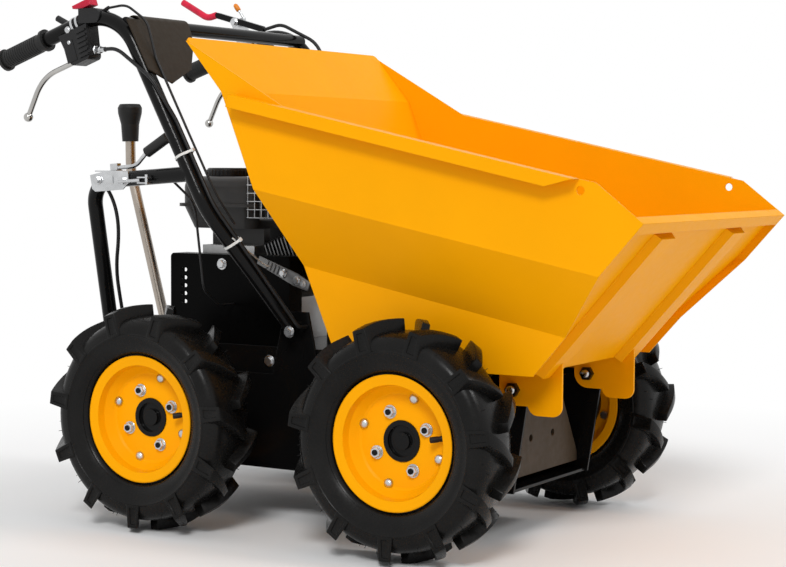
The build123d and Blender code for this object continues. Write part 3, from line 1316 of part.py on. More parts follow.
# Release lever for the bin, clamped to the right brace
CLAMP = Vector(*between(BRACE_START, BRACE_CORNER, RELEASE_SHARE))
BRACE_WAY = (Vector(*BRACE_START) - Vector(*BRACE_CORNER)).normalized()
BRACE_IN = Vector(0, 0, 1).cross(BRACE_WAY).normalized()
CLAMP_PLANE = Plane(origin=CLAMP - BRACE_WAY * (RELEASE_LENGTH / 2), x_dir=(0, 0, 1), z_dir=BRACE_WAY)
with BuildPart() as release_lever:
    with BuildSketch(CLAMP_PLANE):
        Circle(TUBE_RADIUS + RELEASE_RING)
        Rectangle(RELEASE_TAB_HIGH + RELEASE_ROD_RADIUS, RELEASE_TAB, align=(Align.MIN, Align.CENTER))
        Circle(TUBE_RADIUS + TOUCH_GAP, mode=Mode.SUBTRACT)
    extrude(amount=RELEASE_LENGTH)
    rod_foot = CLAMP + Vector(0, 0, RELEASE_TAB_HIGH - RELEASE_ROD_RADIUS)
    rod_turn = rod_foot + BRACE_WAY * RELEASE_RUN
    grip_foot = (RELEASE_TURN_X, rod_turn.Y, RELEASE_TURN_Z)
    grip_end = (RELEASE_END_X, rod_turn.Y, RELEASE_END_Z)
    add(bent_tube([tuple(rod_foot), tuple(rod_turn), grip_foot], [RELEASE_BEND_RADIUS], RELEASE_ROD_RADIUS))
release_lever.part.label = "release_lever"
export_step(release_lever.part, "parts/release_lever.step")

with BuildPart() as release_grip:
    grip_way = (Vector(*grip_end) - Vector(*grip_foot)).normalized()
    grip_start = Vector(*grip_foot) + grip_way * RELEASE_GRIP_START
    add(straight_bar(tuple(grip_start), grip_end, RELEASE_GRIP_RADIUS))
release_grip.part.label = "release_grip"
export_step(release_grip.part, "parts/release_grip.step")

# Gear lever
GEAR_TOP = (GEAR_TOP_X, GEAR_Y, GEAR_TOP_Z)
GEAR_BEND = (GEAR_BEND_X, GEAR_Y, GEAR_BEND_Z)
GEAR_FOOT = (GEAR_FOOT_X, GEAR_Y, TRANSMISSION_HIGH_Z + GEAR_BOSS / 2)
GEAR_NECK = (GEAR_NECK_X, GEAR_Y, GEAR_NECK_Z)
GEAR_LENGTH = (Vector(*GEAR_TOP) - Vector(*GEAR_NECK)).length
KNOB_FOOT = between(GEAR_NECK, GEAR_TOP, 1 - KNOB_LENGTH / GEAR_LENGTH)
with BuildPart() as gear_rod:
    with BuildSketch(Plane.XY.offset(TRANSMISSION_HIGH_Z)):
        with Locations((GEAR_FOOT_X, GEAR_Y)):
            Circle(GEAR_BOSS_RADIUS)
    extrude(amount=GEAR_BOSS)
    gear_line = [GEAR_FOOT, GEAR_BEND, GEAR_NECK, KNOB_FOOT]
    add(bent_tube(gear_line, [GEAR_BEND_RADIUS, GEAR_NECK_RADIUS], GEAR_ROD_RADIUS))
gear_rod.part.label = "gear_rod"
export_step(gear_rod.part, "parts/gear_rod.step")

GEAR_WAY = (Vector(*GEAR_TOP) - Vector(*GEAR_NECK)).normalized()
with BuildPart() as gear_knob:
    knob_plane = Plane(origin=KNOB_FOOT, x_dir=(0, 1, 0), z_dir=Vector(0, 1, 0).cross(GEAR_WAY))
    with BuildSketch(knob_plane) as knob_face:
        with BuildLine():
            profile = [(radius, share * KNOB_LENGTH) for radius, share in KNOB_PROFILE]
            Polyline((0, 0), *profile, (0, profile[-1][1]), close=True)
        make_face()
        fillet(knob_face.vertices().sort_by(Axis.X)[-4:], KNOB_ROUND)
    revolve(axis=Axis(KNOB_FOOT, GEAR_WAY))
gear_knob.part.label = "gear_knob"
export_step(gear_knob.part, "parts/gear_knob.step")

# Cables and wires, straight runs joined by arcs
BOX_SHARE = (LEVER_BOX_HIGH - STEER_CABLE_LEVEL) / (LEVER_BOX_HIGH - LEVER_BOX_LOW)
BOX_FRONT = LEVER_BOX_END - LEVER_BOX_SLANT * BOX_SHARE


def cable_line(table, side):
    """The places of a table on one side of the machine."""
    return [(x, side * (HANDLE_HALF + out), z) for x, out, z, bend in table]


def cable_bends(table):
    """The bends of a table, without the free end's."""
    return [bend for x, out, z, bend in table if bend > 0]


with BuildPart() as control_cables:
    steer_start = grip_point(BOX_FRONT + CABLE_START, STEER_CABLE_LEVEL, -HANDLE_HALF)
    steer_turn = (HANDLE_FOOT_X + CABLE_FOOT, -HANDLE_FOOT_HALF - CABLE_FOOT_OUT, HANDLE_FOOT_Z)
    steer_end = (HANDLE_FOOT_X + CABLE_FOOT, -CHASSIS_HALF - CABLE_END, HANDLE_FOOT_Z)
    steer_line = [steer_start, *cable_line(STEER_CABLE, -1), steer_turn, steer_end]
    add(bent_tube(steer_line, cable_bends(STEER_CABLE) + [CABLE_FOOT_BEND], CABLE_RADIUS))
    mirror(about=Plane.XZ)
    wire_start = (HANDLE_TOP_X - SWITCH_WIRE_BACK, -HANDLE_HALF, HANDLE_TOP_Z - SWITCH_WIRE_DROP)
    add(bent_tube([wire_start, *cable_line(SWITCH_WIRE, -1)], cable_bends(SWITCH_WIRE), WIRE_RADIUS))
    drive_start = grip_point(DRIVE_ARM_END + CABLE_END, DRIVE_CABLE_HIGH, DRIVE_Y)
    add(bent_tube([drive_start, *cable_line(DRIVE_CABLE, 1)], cable_bends(DRIVE_CABLE), CABLE_RADIUS))
    release_start = CLAMP + BRACE_WAY * (RELEASE_LENGTH / 2 + CABLE_END) + BRACE_IN * RELEASE_CABLE_OUT
    release_foot = [(x, COVER_Y - out, z) for x, out, z, bend in RELEASE_FOOT]
    release_end = (RELEASE_FOOT[-1][0], COVER_Y - CABLE_END, RELEASE_FOOT[-1][2])
    release_line = [tuple(release_start), *cable_line(RELEASE_CABLE, -1), *release_foot, release_end]
    add(bent_tube(release_line, cable_bends(RELEASE_CABLE + RELEASE_FOOT), WIRE_RADIUS))
control_cables.part.label = "control_cables"
export_step(control_cables.part, "parts/control_cables.step")
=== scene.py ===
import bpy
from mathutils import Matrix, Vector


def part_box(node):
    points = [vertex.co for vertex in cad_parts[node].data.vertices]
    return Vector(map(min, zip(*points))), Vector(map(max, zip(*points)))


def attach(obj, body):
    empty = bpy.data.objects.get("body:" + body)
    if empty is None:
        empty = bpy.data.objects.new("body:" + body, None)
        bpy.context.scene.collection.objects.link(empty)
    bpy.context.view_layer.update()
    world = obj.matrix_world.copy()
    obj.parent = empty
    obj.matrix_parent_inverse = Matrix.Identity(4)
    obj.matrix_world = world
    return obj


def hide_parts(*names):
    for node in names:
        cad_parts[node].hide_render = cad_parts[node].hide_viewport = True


bl_info = {
    "name": "Motor Barrow Dressing",
    "version": (1, 0, 0),
    "blender": (4, 5, 0),
    "location": "View3D > Sidebar > Barrow",
    "description": "Dresses the packed motor wheelbarrow with tyres, fasteners, finishes and a plain stage",
    "category": "Object",
}

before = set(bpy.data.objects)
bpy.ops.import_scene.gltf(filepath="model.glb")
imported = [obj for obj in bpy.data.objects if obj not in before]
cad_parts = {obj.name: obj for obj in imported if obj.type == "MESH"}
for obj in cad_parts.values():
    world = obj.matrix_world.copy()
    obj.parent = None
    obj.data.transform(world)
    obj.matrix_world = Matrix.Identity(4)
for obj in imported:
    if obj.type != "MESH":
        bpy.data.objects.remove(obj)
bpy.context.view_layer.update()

import math

import bmesh
import bpy
from bpy.props import FloatProperty, FloatVectorProperty, IntProperty, PointerProperty
from bpy.types import Operator, Panel, PropertyGroup
from mathutils import Matrix, Vector

MM = 0.001

WHEELS = [
    # body, side of the machine
    ("front_right", -1),
    ("front_left", 1),
    ("rear_right", -1),
    ("rear_left", 1),
]


class BarrowColours(PropertyGroup):
    """Colours of the barrow's finishes"""

    bin_yellow: FloatVectorProperty(
        name="Bin yellow", description="Powder coat of the bin and the wheel rims",
        subtype="COLOR", size=3, min=0.0, max=1.0, default=(0.97, 0.4, 0.001),
    )
    frame_black: FloatVectorProperty(
        name="Frame black", description="Powder coat of the chassis and the handlebar",
        subtype="COLOR", size=3, min=0.0, max=1.0, default=(0.0045, 0.0044, 0.0044),
    )
    rubber: FloatVectorProperty(
        name="Rubber", description="Tyres",
        subtype="COLOR", size=3, min=0.0, max=1.0, default=(0.004, 0.0038, 0.0036),
    )
    moulding: FloatVectorProperty(
        name="Moulding", description="Black moulded plastic of the controls and the engine covers",
        subtype="COLOR", size=3, min=0.0, max=1.0, default=(0.010, 0.010, 0.0105),
    )
    lever_red: FloatVectorProperty(
        name="Lever red", description="Stop button and drive lever sleeve",
        subtype="COLOR", size=3, min=0.0, max=1.0, default=(0.58, 0.012, 0.045),
    )
    tip_orange: FloatVectorProperty(
        name="Tip orange", description="Tip of the lock pin",
        subtype="COLOR", size=3, min=0.0, max=1.0, default=(0.85, 0.26, 0.02),
    )
    plate_taupe: FloatVectorProperty(
        name="Plate taupe", description="Primer on the plate at the chassis front",
        subtype="COLOR", size=3, min=0.0, max=1.0, default=(0.058, 0.041, 0.026),
    )


class BarrowTread(PropertyGroup):
    """Sizes of the tyre's tread"""

    bars: IntProperty(
        name="Bars a side", description="Tread bars on each half of a tyre", default=11, min=4, max=24,
    )
    crown_drop: FloatProperty(
        name="Crown drop", description="How much lower the bars are at the shoulder than in the middle",
        unit="LENGTH", default=10.0 * MM, min=0.0,
    )
    bar_height: FloatProperty(
        name="Bar height", description="Height of a bar over the carcass",
        unit="LENGTH", default=20.0 * MM, min=0.0,
    )
    bar_turn: FloatProperty(
        name="Bar turn", description="How far a bar turns round the tyre from shoulder to nose",
        subtype="ANGLE", default=math.radians(13.5),
    )
    shoulder_width: FloatProperty(
        name="Shoulder width", description="Width of a bar at the shoulder",
        unit="LENGTH", default=29.0 * MM, min=0.0,
    )
    nose_width: FloatProperty(
        name="Nose width", description="Width of a bar at its nose",
        unit="LENGTH", default=18.0 * MM, min=0.0,
    )
    edge: FloatProperty(
        name="Edge", description="Rounding of the bars' edges",
        unit="LENGTH", default=1.8 * MM, min=0.0,
    )


class BarrowFittings(PropertyGroup):
    """Sizes of the fasteners, ties and edges"""

    wheel_nut: FloatProperty(
        name="Wheel nut", description="Radius of a wheel nut over its corners",
        unit="LENGTH", default=9.8 * MM, min=0.0,
    )
    rim_bolt: FloatProperty(
        name="Rim bolt", description="Radius of a rim bolt's round head",
        unit="LENGTH", default=8.6 * MM, min=0.0,
    )
    frame_bolt: FloatProperty(
        name="Frame bolt", description="Radius of a chassis bolt over its corners",
        unit="LENGTH", default=8.0 * MM, min=0.0,
    )
    tie_width: FloatProperty(
        name="Tie width", description="Width of a cable tie",
        unit="LENGTH", default=4.5 * MM, min=0.0,
    )
    weld: FloatProperty(
        name="Weld", description="Radius of a weld bead",
        unit="LENGTH", default=2.6 * MM, min=0.0,
    )
    sheet_edge: FloatProperty(
        name="Sheet edge", description="Rounding of the sheet metal's edges",
        unit="LENGTH", default=1.1 * MM, min=0.0,
    )
    grip_pitch: FloatProperty(
        name="Grip pitch", description="Distance from one ring of a grip to the next",
        unit="LENGTH", default=5.5 * MM, min=1.0 * MM,
    )


class BarrowStage(PropertyGroup):
    """Camera and light"""

    camera_place: FloatVectorProperty(
        name="Camera place", description="Where the camera stands",
        subtype="TRANSLATION", size=3, default=(1.8065, -2.9458, 0.6636),
    )
    azimuth: FloatProperty(
        name="Azimuth", description="Camera's turn about the upright axis",
        subtype="ANGLE", default=math.radians(31.09),
    )
    elevation: FloatProperty(
        name="Elevation", description="Camera's height over the horizon",
        subtype="ANGLE", default=math.radians(3.72),
    )
    roll: FloatProperty(
        name="Roll", description="Camera's turn about its own axis",
        subtype="ANGLE", default=math.radians(0.31),
    )
    lens: FloatProperty(
        name="Lens", description="Focal length on a 36 mm sensor", default=85.11, min=1.0,
    )
    sky: FloatProperty(
        name="Sky", description="Strength of the even light from all round", default=0.55, min=0.0,
    )
    key: FloatProperty(
        name="Key", description="Strength of the soft light from above and beside the camera",
        default=1.5, min=0.0,
    )
    rim: FloatProperty(
        name="Rim", description="Strength of the soft light from before the bin", default=0.55, min=0.0,
    )


# Finishes

def finish_nodes(name):
    """A new material with its node list, link list, shader and place socket."""
    material = bpy.data.materials.new(name)
    material.use_nodes = True
    nodes = material.node_tree.nodes
    links = material.node_tree.links
    shader = nodes["Principled BSDF"]
    place = nodes.new("ShaderNodeTexCoord").outputs["Object"]
    return material, nodes, links, shader, place


def speckle(nodes, links, place, scale, detail=4.0, rough=0.55):
    """A noise texture of one scale, in features a metre."""
    noise = nodes.new("ShaderNodeTexNoise")
    noise.inputs["Scale"].default_value = scale
    noise.inputs["Detail"].default_value = detail
    noise.inputs["Roughness"].default_value = rough
    links.new(place, noise.inputs["Vector"])
    return noise.outputs["Fac"]


def ramp_between(nodes, links, fac, low, high, start=0.35, end=0.65):
    """A colour ramp from one colour to another."""
    ramp = nodes.new("ShaderNodeValToRGB")
    ramp.color_ramp.elements[0].position = start
    ramp.color_ramp.elements[0].color = (*low, 1.0)
    ramp.color_ramp.elements[1].position = end
    ramp.color_ramp.elements[1].color = (*high, 1.0)
    links.new(fac, ramp.inputs["Fac"])
    return ramp.outputs["Color"]


def spread(nodes, links, fac, low, high):
    """A noise value mapped to a range."""
    mapped = nodes.new("ShaderNodeMapRange")
    mapped.inputs["From Min"].default_value = 0.3
    mapped.inputs["From Max"].default_value = 0.7
    mapped.inputs["To Min"].default_value = low
    mapped.inputs["To Max"].default_value = high
    links.new(fac, mapped.inputs["Value"])
    return mapped.outputs["Result"]


def bumps(nodes, links, shader, height, strength, distance, edge=0.0):
    """A bump from a height socket, over edges that are rounded in the shading."""
    bump = nodes.new("ShaderNodeBump")
    if edge > 0.0:
        rounded = nodes.new("ShaderNodeBevel")
        rounded.samples = 6
        rounded.inputs["Radius"].default_value = edge
        links.new(rounded.outputs["Normal"], bump.inputs["Normal"])
    bump.inputs["Strength"].default_value = strength
    bump.inputs["Distance"].default_value = distance
    links.new(height, bump.inputs["Height"])
    links.new(bump.outputs["Normal"], shader.inputs["Normal"])


def shade(colour, factor):
    """A colour made darker or lighter."""
    return tuple(min(1.0, channel * factor) for channel in colour)


def powder_coat(name, colour, rough, peel, spots, gloss):
    """Powder coat: a slightly uneven colour and an orange-peel skin."""
    material, nodes, links, shader, place = finish_nodes(name)
    cloud = speckle(nodes, links, place, 6.0)
    links.new(ramp_between(nodes, links, cloud, shade(colour, spots), colour), shader.inputs["Base Color"])
    grain = speckle(nodes, links, place, 90.0, 6.0)
    links.new(spread(nodes, links, grain, rough * 0.85, rough * 1.2), shader.inputs["Roughness"])
    bumps(nodes, links, shader, speckle(nodes, links, place, 420.0, 2.0), peel, 0.2 * MM, 1.6 * MM)
    shader.inputs["Specular IOR Level"].default_value = gloss
    return material


def tyre_rubber(name, colour):
    """Tyre rubber: nearly black, dusty in patches, finely pitted."""
    material, nodes, links, shader, place = finish_nodes(name)
    dust = speckle(nodes, links, place, 14.0, 8.0)
    links.new(ramp_between(nodes, links, dust, colour, shade(colour, 1.9)), shader.inputs["Base Color"])
    grain = speckle(nodes, links, place, 160.0, 6.0)
    links.new(spread(nodes, links, grain, 0.2, 0.34), shader.inputs["Roughness"])
    bumps(nodes, links, shader, speckle(nodes, links, place, 900.0, 3.0), 0.12, 0.4 * MM)
    shader.inputs["Specular IOR Level"].default_value = 0.14
    return material


def moulded(name, colour, rough=0.42, grain_size=1200.0, specular=0.26):
    """Moulded plastic with a fine leather-like grain."""
    material, nodes, links, shader, place = finish_nodes(name)
    cloud = speckle(nodes, links, place, 30.0, 3.0)
    tone = ramp_between(nodes, links, cloud, shade(colour, 0.85), shade(colour, 1.2))
    links.new(tone, shader.inputs["Base Color"])
    cells = nodes.new("ShaderNodeTexVoronoi")
    cells.inputs["Scale"].default_value = grain_size
    links.new(place, cells.inputs["Vector"])
    links.new(spread(nodes, links, cloud, rough * 0.85, rough * 1.15), shader.inputs["Roughness"])
    bumps(nodes, links, shader, cells.outputs["Distance"], 0.22, 0.3 * MM)
    shader.inputs["Specular IOR Level"].default_value = specular
    return material


def bare_metal(name, colour, rough, pit_scale, pit, cloud_scale=40.0):
    """Bare or plated metal with a cloudy sheen and fine pits."""
    material, nodes, links, shader, place = finish_nodes(name)
    cloud = speckle(nodes, links, place, cloud_scale, 6.0)
    links.new(ramp_between(nodes, links, cloud, shade(colour, 0.8), colour), shader.inputs["Base Color"])
    links.new(spread(nodes, links, cloud, rough * 0.75, rough * 1.3), shader.inputs["Roughness"])
    bumps(nodes, links, shader, speckle(nodes, links, place, pit_scale, 4.0), pit, 0.4 * MM)
    shader.inputs["Metallic"].default_value = 1.0
    return material


def make_finishes(colours):
    """Every finish of the barrow by name."""
    black = tuple(colours.frame_black)
    return {
        "yellow coat": powder_coat("yellow_coat", tuple(colours.bin_yellow), 0.36, 0.03, 0.96, 0.05),
        "black coat": powder_coat("black_coat", black, 0.16, 0.05, 0.8, 0.14),
        "grey sheet": powder_coat("grey_sheet", (0.03, 0.0215, 0.0136), 0.45, 0.08, 0.9, 0.1),
        "taupe plate": powder_coat("taupe_plate", tuple(colours.plate_taupe), 0.45, 0.08, 0.8, 0.12),
        # Painted shade: the frame's black coat darkened to 0.4 stands in for the shade on the belt cover
        "shade darkened black": powder_coat("shade_darkened_black", shade(black, 0.4), 0.3, 0.05, 0.8, 0.04),
        "tyre rubber": tyre_rubber("tyre_rubber", tuple(colours.rubber)),
        "black moulding": moulded("black_moulding", tuple(colours.moulding)),
        "tank black": moulded("tank_black", (0.027, 0.0262, 0.0254), 0.34, 700.0),
        "soft grip": moulded("soft_grip", (0.015, 0.015, 0.0148), 0.45, 1600.0, 0.24),
        "red moulding": moulded("red_moulding", tuple(colours.lever_red), 0.36, 1400.0),
        "orange tip": moulded("orange_tip", tuple(colours.tip_orange), 0.4, 1400.0),
        "white nylon": moulded("white_nylon", (0.72, 0.72, 0.7), 0.4, 1500.0),
        "zinc plate": bare_metal("zinc_plate", (0.62, 0.63, 0.64), 0.28, 500.0, 0.06),
        "bright steel": bare_metal("bright_steel", (0.5, 0.49, 0.47), 0.12, 800.0, 0.03, 15.0),
        "cast alloy": bare_metal("cast_alloy", (0.5, 0.5, 0.5), 0.42, 260.0, 0.3),
        "fin alloy": bare_metal("fin_alloy", (0.2, 0.2, 0.2), 0.4, 260.0, 0.3),
        "warm steel": bare_metal("warm_steel", (0.42, 0.37, 0.32), 0.26, 300.0, 0.05, 25.0),
        "dark steel": bare_metal("dark_steel", (0.07, 0.068, 0.066), 0.4, 500.0, 0.08),
    }


# Which finish each node takes, the first matching start of its name
NODE_FINISHES = [
    # start of the node's name, finish
    ("tyre_", "tyre rubber"),
    ("rim_", "yellow coat"),
    ("hub_", "black coat"),
    ("bin_rest", "black coat"),
    ("bin_", "yellow coat"),
    # Painted shade: the belt cover takes the darkened copy of the frame's black coat
    ("belt_cover", "shade darkened black"),
    ("front_plate", "taupe plate"),
    ("console_panel", "grey sheet"),
    ("crankcase", "cast alloy"),
    ("cylinder", "fin alloy"),
    ("head_cover", "black moulding"),
    ("silencer", "dark steel"),
    ("fuel_tank", "tank black"),
    ("fuel_cap", "black moulding"),
    ("air_filter", "black moulding"),
    ("recoil_starter", "black moulding"),
    ("gear_rod", "warm steel"),
    ("gear_knob", "soft grip"),
    ("grips", "soft grip"),
    ("release_grip", "soft grip"),
    ("release_lever", "zinc plate"),
    ("drive_bracket", "zinc plate"),
    ("drive_lever", "red moulding"),
    ("stop_button", "red moulding"),
    ("stop_switch", "black moulding"),
    ("lever_boxes", "black moulding"),
    ("throttle_lever", "black moulding"),
    ("steering_levers", "bright steel"),
    ("control_cables", "black moulding"),
    ("pivot_pins", "dark steel"),
    ("", "black coat"),
]

FINISHES = {}


def finish_of(node):
    """The finish that a node's name asks for."""
    return next(finish for start, finish in NODE_FINISHES if node.startswith(start))


# Mesh helpers

SHARP_ANGLE = math.radians(38.0)


def new_piece(name, bm, finish, body):
    """An object from a bmesh, finished and riding on a body."""
    mesh = bpy.data.meshes.new(name)
    bmesh.ops.recalc_face_normals(bm, faces=bm.faces)
    bm.to_mesh(mesh)
    bm.free()
    mesh.materials.append(FINISHES[finish])
    piece = bpy.data.objects.new(name, mesh)
    bpy.context.scene.collection.objects.link(piece)
    mesh.shade_smooth()
    mesh.set_sharp_from_angle(angle=SHARP_ANGLE)
    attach(piece, body)
    return piece


def facing(place, way):
    """A matrix that puts the origin at a place with Z along a way."""
    turn = Vector(way).to_track_quat("Z", "Y").to_matrix().to_4x4()
    return Matrix.Translation(Vector(place)) @ turn


def on_circle(radius, angle, level):
    """A point at a radius and an angle round the Z axis, at a level."""
    return Vector((radius * math.cos(angle), radius * math.sin(angle), level))


def lathe(bm, profile, place, way, sides, start=0.0):
    """A turned solid from (radius, height) points, on an axis at a place."""
    frame_at = facing(place, way)
    rings = []
    for radius, height in profile:
        if radius < 1e-6:
            rings.append([bm.verts.new(frame_at @ Vector((0, 0, height)))])
            continue
        ring = []
        for index in range(sides):
            angle = start + 2.0 * math.pi * index / sides
            ring.append(bm.verts.new(frame_at @ on_circle(radius, angle, height)))
        rings.append(ring)
    for low, high in zip(rings, rings[1:]):
        for index in range(sides):
            after = (index + 1) % sides
            if len(low) == 1:
                bm.faces.new((low[0], high[after], high[index]))
            elif len(high) == 1:
                bm.faces.new((low[index], low[after], high[0]))
            else:
                bm.faces.new((low[index], low[after], high[after], high[index]))


def hex_bolt(bm, place, way, radius, height, washer=0.0, turn=0.0):
    """A hexagon head or nut with a chamfered top, on a washer if one is wanted."""
    base = 0.0
    if washer > 0.0:
        base = 1.6 * MM
        rim = 0.4 * MM
        ring = [(0, 0), (washer, 0), (washer, base - rim), (washer - rim, base), (0, base)]
        lathe(bm, ring, place, way, 20)
    cut = 0.12 * radius
    top = base + height
    head = [(0, base), (radius, base), (radius, top - cut), (radius - cut, top), (0, top)]
    lathe(bm, head, place, way, 6, turn)


def axes(place, across, along):
    """A matrix at a place in mm with X across and Z along."""
    along = Vector(along).normalized()
    across = Vector(across)
    across = (across - along * across.dot(along)).normalized()
    turn = Matrix((across, along.cross(across), along)).transposed()
    return Matrix.Translation(Vector(place) * MM) @ turn.to_4x4()


def turned(bm, outline, place, way, sides=24):
    """A turned solid from (radius, height) points, all in mm."""
    lathe(bm, [(radius * MM, height * MM) for radius, height in outline], Vector(place) * MM, way, sides)


def plain_rod(bm, radius, length, place, way, sides=16):
    """A plain round rod from a place along a way, in mm."""
    turned(bm, [(0, 0), (radius, 0), (radius, length), (0, length)], place, way, sides)


def band(bm, outlines, frame_at):
    """A closed band between an inner and an outer outline, each at a low and a high level."""
    loops = [[bm.verts.new(frame_at @ (Vector(point) * MM)) for point in outline] for outline in outlines]
    count = len(loops[0])
    for here, after in zip(loops, loops[1:] + loops[:1]):
        for index in range(count):
            again = (index + 1) % count
            bm.faces.new((here[index], here[again], after[again], after[index]))


def hull_outline(rods, grow, level, steps=48):
    """The line pulled tight round parallel rods, each (across, up, radius), in mm."""
    points = []
    for index in range(steps):
        angle = 2.0 * math.pi * index / steps
        way = Vector((math.cos(angle), math.sin(angle)))
        x, y, radius = max(rods, key=lambda rod: rod[0] * way.x + rod[1] * way.y + rod[2])
        points.append((x + (radius + grow) * way.x, y + (radius + grow) * way.y, level))
    return points


def strap(bm, rods, frame_at, width, thickness):
    """A band pulled tight round rods, in mm."""
    low, high = -width / 2.0, width / 2.0
    band(bm, [
        hull_outline(rods, 0.1, low), hull_outline(rods, thickness, low),
        hull_outline(rods, thickness, high), hull_outline(rods, 0.1, high),
    ], frame_at)


def soften(bm, edges, width):
    """Rounds the edges given."""
    bmesh.ops.bevel(
        bm, geom=edges, offset=width, segments=2, profile=0.6, affect="EDGES", clamp_overlap=True,
    )


def plate(bm, outline, thickness, frame_at, edge=0.6):
    """A flat plate from an outline in mm, with softened edges."""
    low = [bm.verts.new(frame_at @ (Vector((x, y, 0.0)) * MM)) for x, y in outline]
    high = [bm.verts.new(frame_at @ (Vector((x, y, thickness)) * MM)) for x, y in outline]
    faces = [bm.faces.new(list(reversed(low))), bm.faces.new(high)]
    for index in range(len(outline)):
        again = (index + 1) % len(outline)
        faces.append(bm.faces.new((low[index], low[again], high[again], high[index])))
    soften(bm, list(dict.fromkeys(rim for face in faces for rim in face.edges)), edge * MM)


def block(bm, length, height, thickness, frame_at, edge=0.6):
    """A softened block round the matrix's origin, standing on its X and Y plane, in mm."""
    x, y = length / 2.0, height / 2.0
    plate(bm, [(-x, -y), (x, -y), (x, y), (-x, y)], thickness, frame_at, edge)


def fluted(bm, inner, outer, low, high, flutes, frame_at):
    """A disc with flutes round its rim, in mm."""
    rings = []
    for level, shrink in ((low, 0.0), (high - 1.0, 0.0), (high, 1.0)):
        ring = []
        for index in range(4 * flutes):
            angle = 2.0 * math.pi * (index + 0.5 * (index % 2)) / (4 * flutes)
            radius = (outer if index % 4 < 2 else inner) - shrink
            ring.append(bm.verts.new(frame_at @ (on_circle(radius, angle, level) * MM)))
        rings.append(ring)
    for here, after in zip(rings, rings[1:]):
        for index in range(4 * flutes):
            again = (index + 1) % (4 * flutes)
            bm.faces.new((here[index], here[again], after[again], after[index]))
    bm.faces.new(list(reversed(rings[0])))
    bm.faces.new(rings[-1])


def weld_bead(bm, start, end, radius):
    """A weld bead with a ripple for each drop, between two places in mm."""
    run = Vector(end) - Vector(start)
    drops = max(3, int(run.length / 2.4))
    outline = [(0.0, 0.0)]
    for index in range(2 * drops + 1):
        wide = radius / MM * (1.0 if index % 2 else 0.8)
        outline.append((wide, run.length * (index + 0.5) / (2 * drops + 2)))
    outline.append((0.0, run.length))
    turned(bm, outline, start, run, 8)


def wire(name, points, radius, finish):
    """A round wire or cable that is held at both ends, on a smooth line near its places in mm."""
    curve = bpy.data.curves.new(name, "CURVE")
    curve.dimensions = "3D"
    curve.bevel_depth = radius * MM
    curve.bevel_resolution = 3
    curve.use_fill_caps = True
    line = curve.splines.new("NURBS")
    line.points.add(len(points) - 1)
    for knot, place in zip(line.points, points):
        knot.co = (*(Vector(place) * MM), 1.0)
    line.order_u = 3
    line.use_endpoint_u = True
    curve.materials.append(FINISHES[finish])
    piece = bpy.data.objects.new(name, curve)
    bpy.context.scene.collection.objects.link(piece)
    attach(piece, "chassis")


# Handlebar places, in mm

GRIP_SLOPE = math.radians(19.0)
GRIP_END_X = -662.2
GRIP_END_Z = 853.0
HANDLE_HALF = 284.0
GRIP_WAY = Vector((math.cos(GRIP_SLOPE), 0.0, math.sin(GRIP_SLOPE)))
GRIP_UP = Vector((-math.sin(GRIP_SLOPE), 0.0, math.cos(GRIP_SLOPE)))
BRACE_CORNER = Vector((-468.0, 262.0, 625.0))
BRACE_WAY = Vector((246.2, 22.0, 17.0)).normalized()
SIDES = [
    # name, side of the machine
    ("right", -1),
    ("left", 1),
]


def grip_place(along, high, y):
    """A place some way in from a grip's rear end and some way over its tube's middle."""
    return Vector((GRIP_END_X, y, GRIP_END_Z)) + GRIP_WAY * along + GRIP_UP * high


def brace_place(along, high, out):
    """A place along the right brace from its corner, over it and out to its side."""
    middle = BRACE_CORNER + BRACE_WAY * along
    return Vector((middle.x, -middle.y - out, middle.z + high))


# Wheels

CARCASS_PROFILE = [
    # distance from the middle, radius, in mm
    (-30.0, 103.0),
    (-30.5, 115.8),
    (-36.0, 117.6),
    (-42.0, 121.4),
    (-43.2, 123.6),
    (-44.8, 123.2),
    (-49.6, 130.5),
    (-53.2, 141.0),
    (-54.4, 150.0),
    (-55.4, 151.2),
    (-55.2, 153.4),
    (-54.2, 154.4),
    (-53.2, 164.0),
    (-49.6, 172.6),
    (-42.5, 178.6),
    (-30.0, 182.4),
    (-14.0, 184.0),
]
TYRE_TURNS = 88
FIRST_BAR = math.radians(-82.0)
BAR_STEPS = 8
BAR_FOOT_HALF = 0.5
BAR_TOP_HALF = 0.4
BAR_SHARP_EDGE = math.radians(34.0)
BAR_END_INSETS = [
    # width, depth, in mm
    (6.0, 0.0),
    (0.6, -2.4),
]
VENT_HAIRS = [
    # share of the way to the next bar, distance from the middle, radius, in mm
    (0.42, 34.0, 181.0),
    (0.58, 46.0, 175.5),
    (0.74, 20.0, 183.0),
]
HAIR_OUTLINE = [
    # radius, height, in mm
    (0.6, -2.0), (0.45, 6.0), (0.0, 6.6),
]


def wheel_middle(wheel):
    """The middle of a wheel, its radius and half its width, from its plain tyre."""
    low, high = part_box("tyre_" + wheel)
    return (Vector(low) + Vector(high)) / 2.0, (high[2] - low[2]) / 2.0, (high[1] - low[1]) / 2.0


def crown_radius(across, radius, half, drop):
    """The radius of the bars' tops at one distance from the middle."""
    flat = 0.2 * half
    past = max(0.0, abs(across) - flat) / (half - flat)
    return radius - 0.5 * MM - drop * past * past


def bar_sections(tread, radius, half):
    """Each section of a bar as distance, turn, width, top and foot, from the shoulder to the nose."""
    nose = -0.12 * half
    rows = []
    for step in range(BAR_STEPS + 1):
        share = step / BAR_STEPS
        across = half + (nose - half) * share
        turn = tread.bar_turn * (0.86 * share + 0.14 * share * share)
        width = tread.shoulder_width + (tread.nose_width - tread.shoulder_width) * share
        top = crown_radius(across, radius, half, tread.crown_drop)
        foot = radius - tread.bar_height - 4.0 * MM - 28.0 * MM * max(0.0, 1.0 - 3.2 * share)
        rows.append((across, turn, width, top, foot))
    return rows


def on_wheel(radius, angle, across):
    """A point at a radius and an angle round a wheel's axle, some way across the wheel."""
    return Vector((radius * math.cos(angle), across, radius * math.sin(angle)))


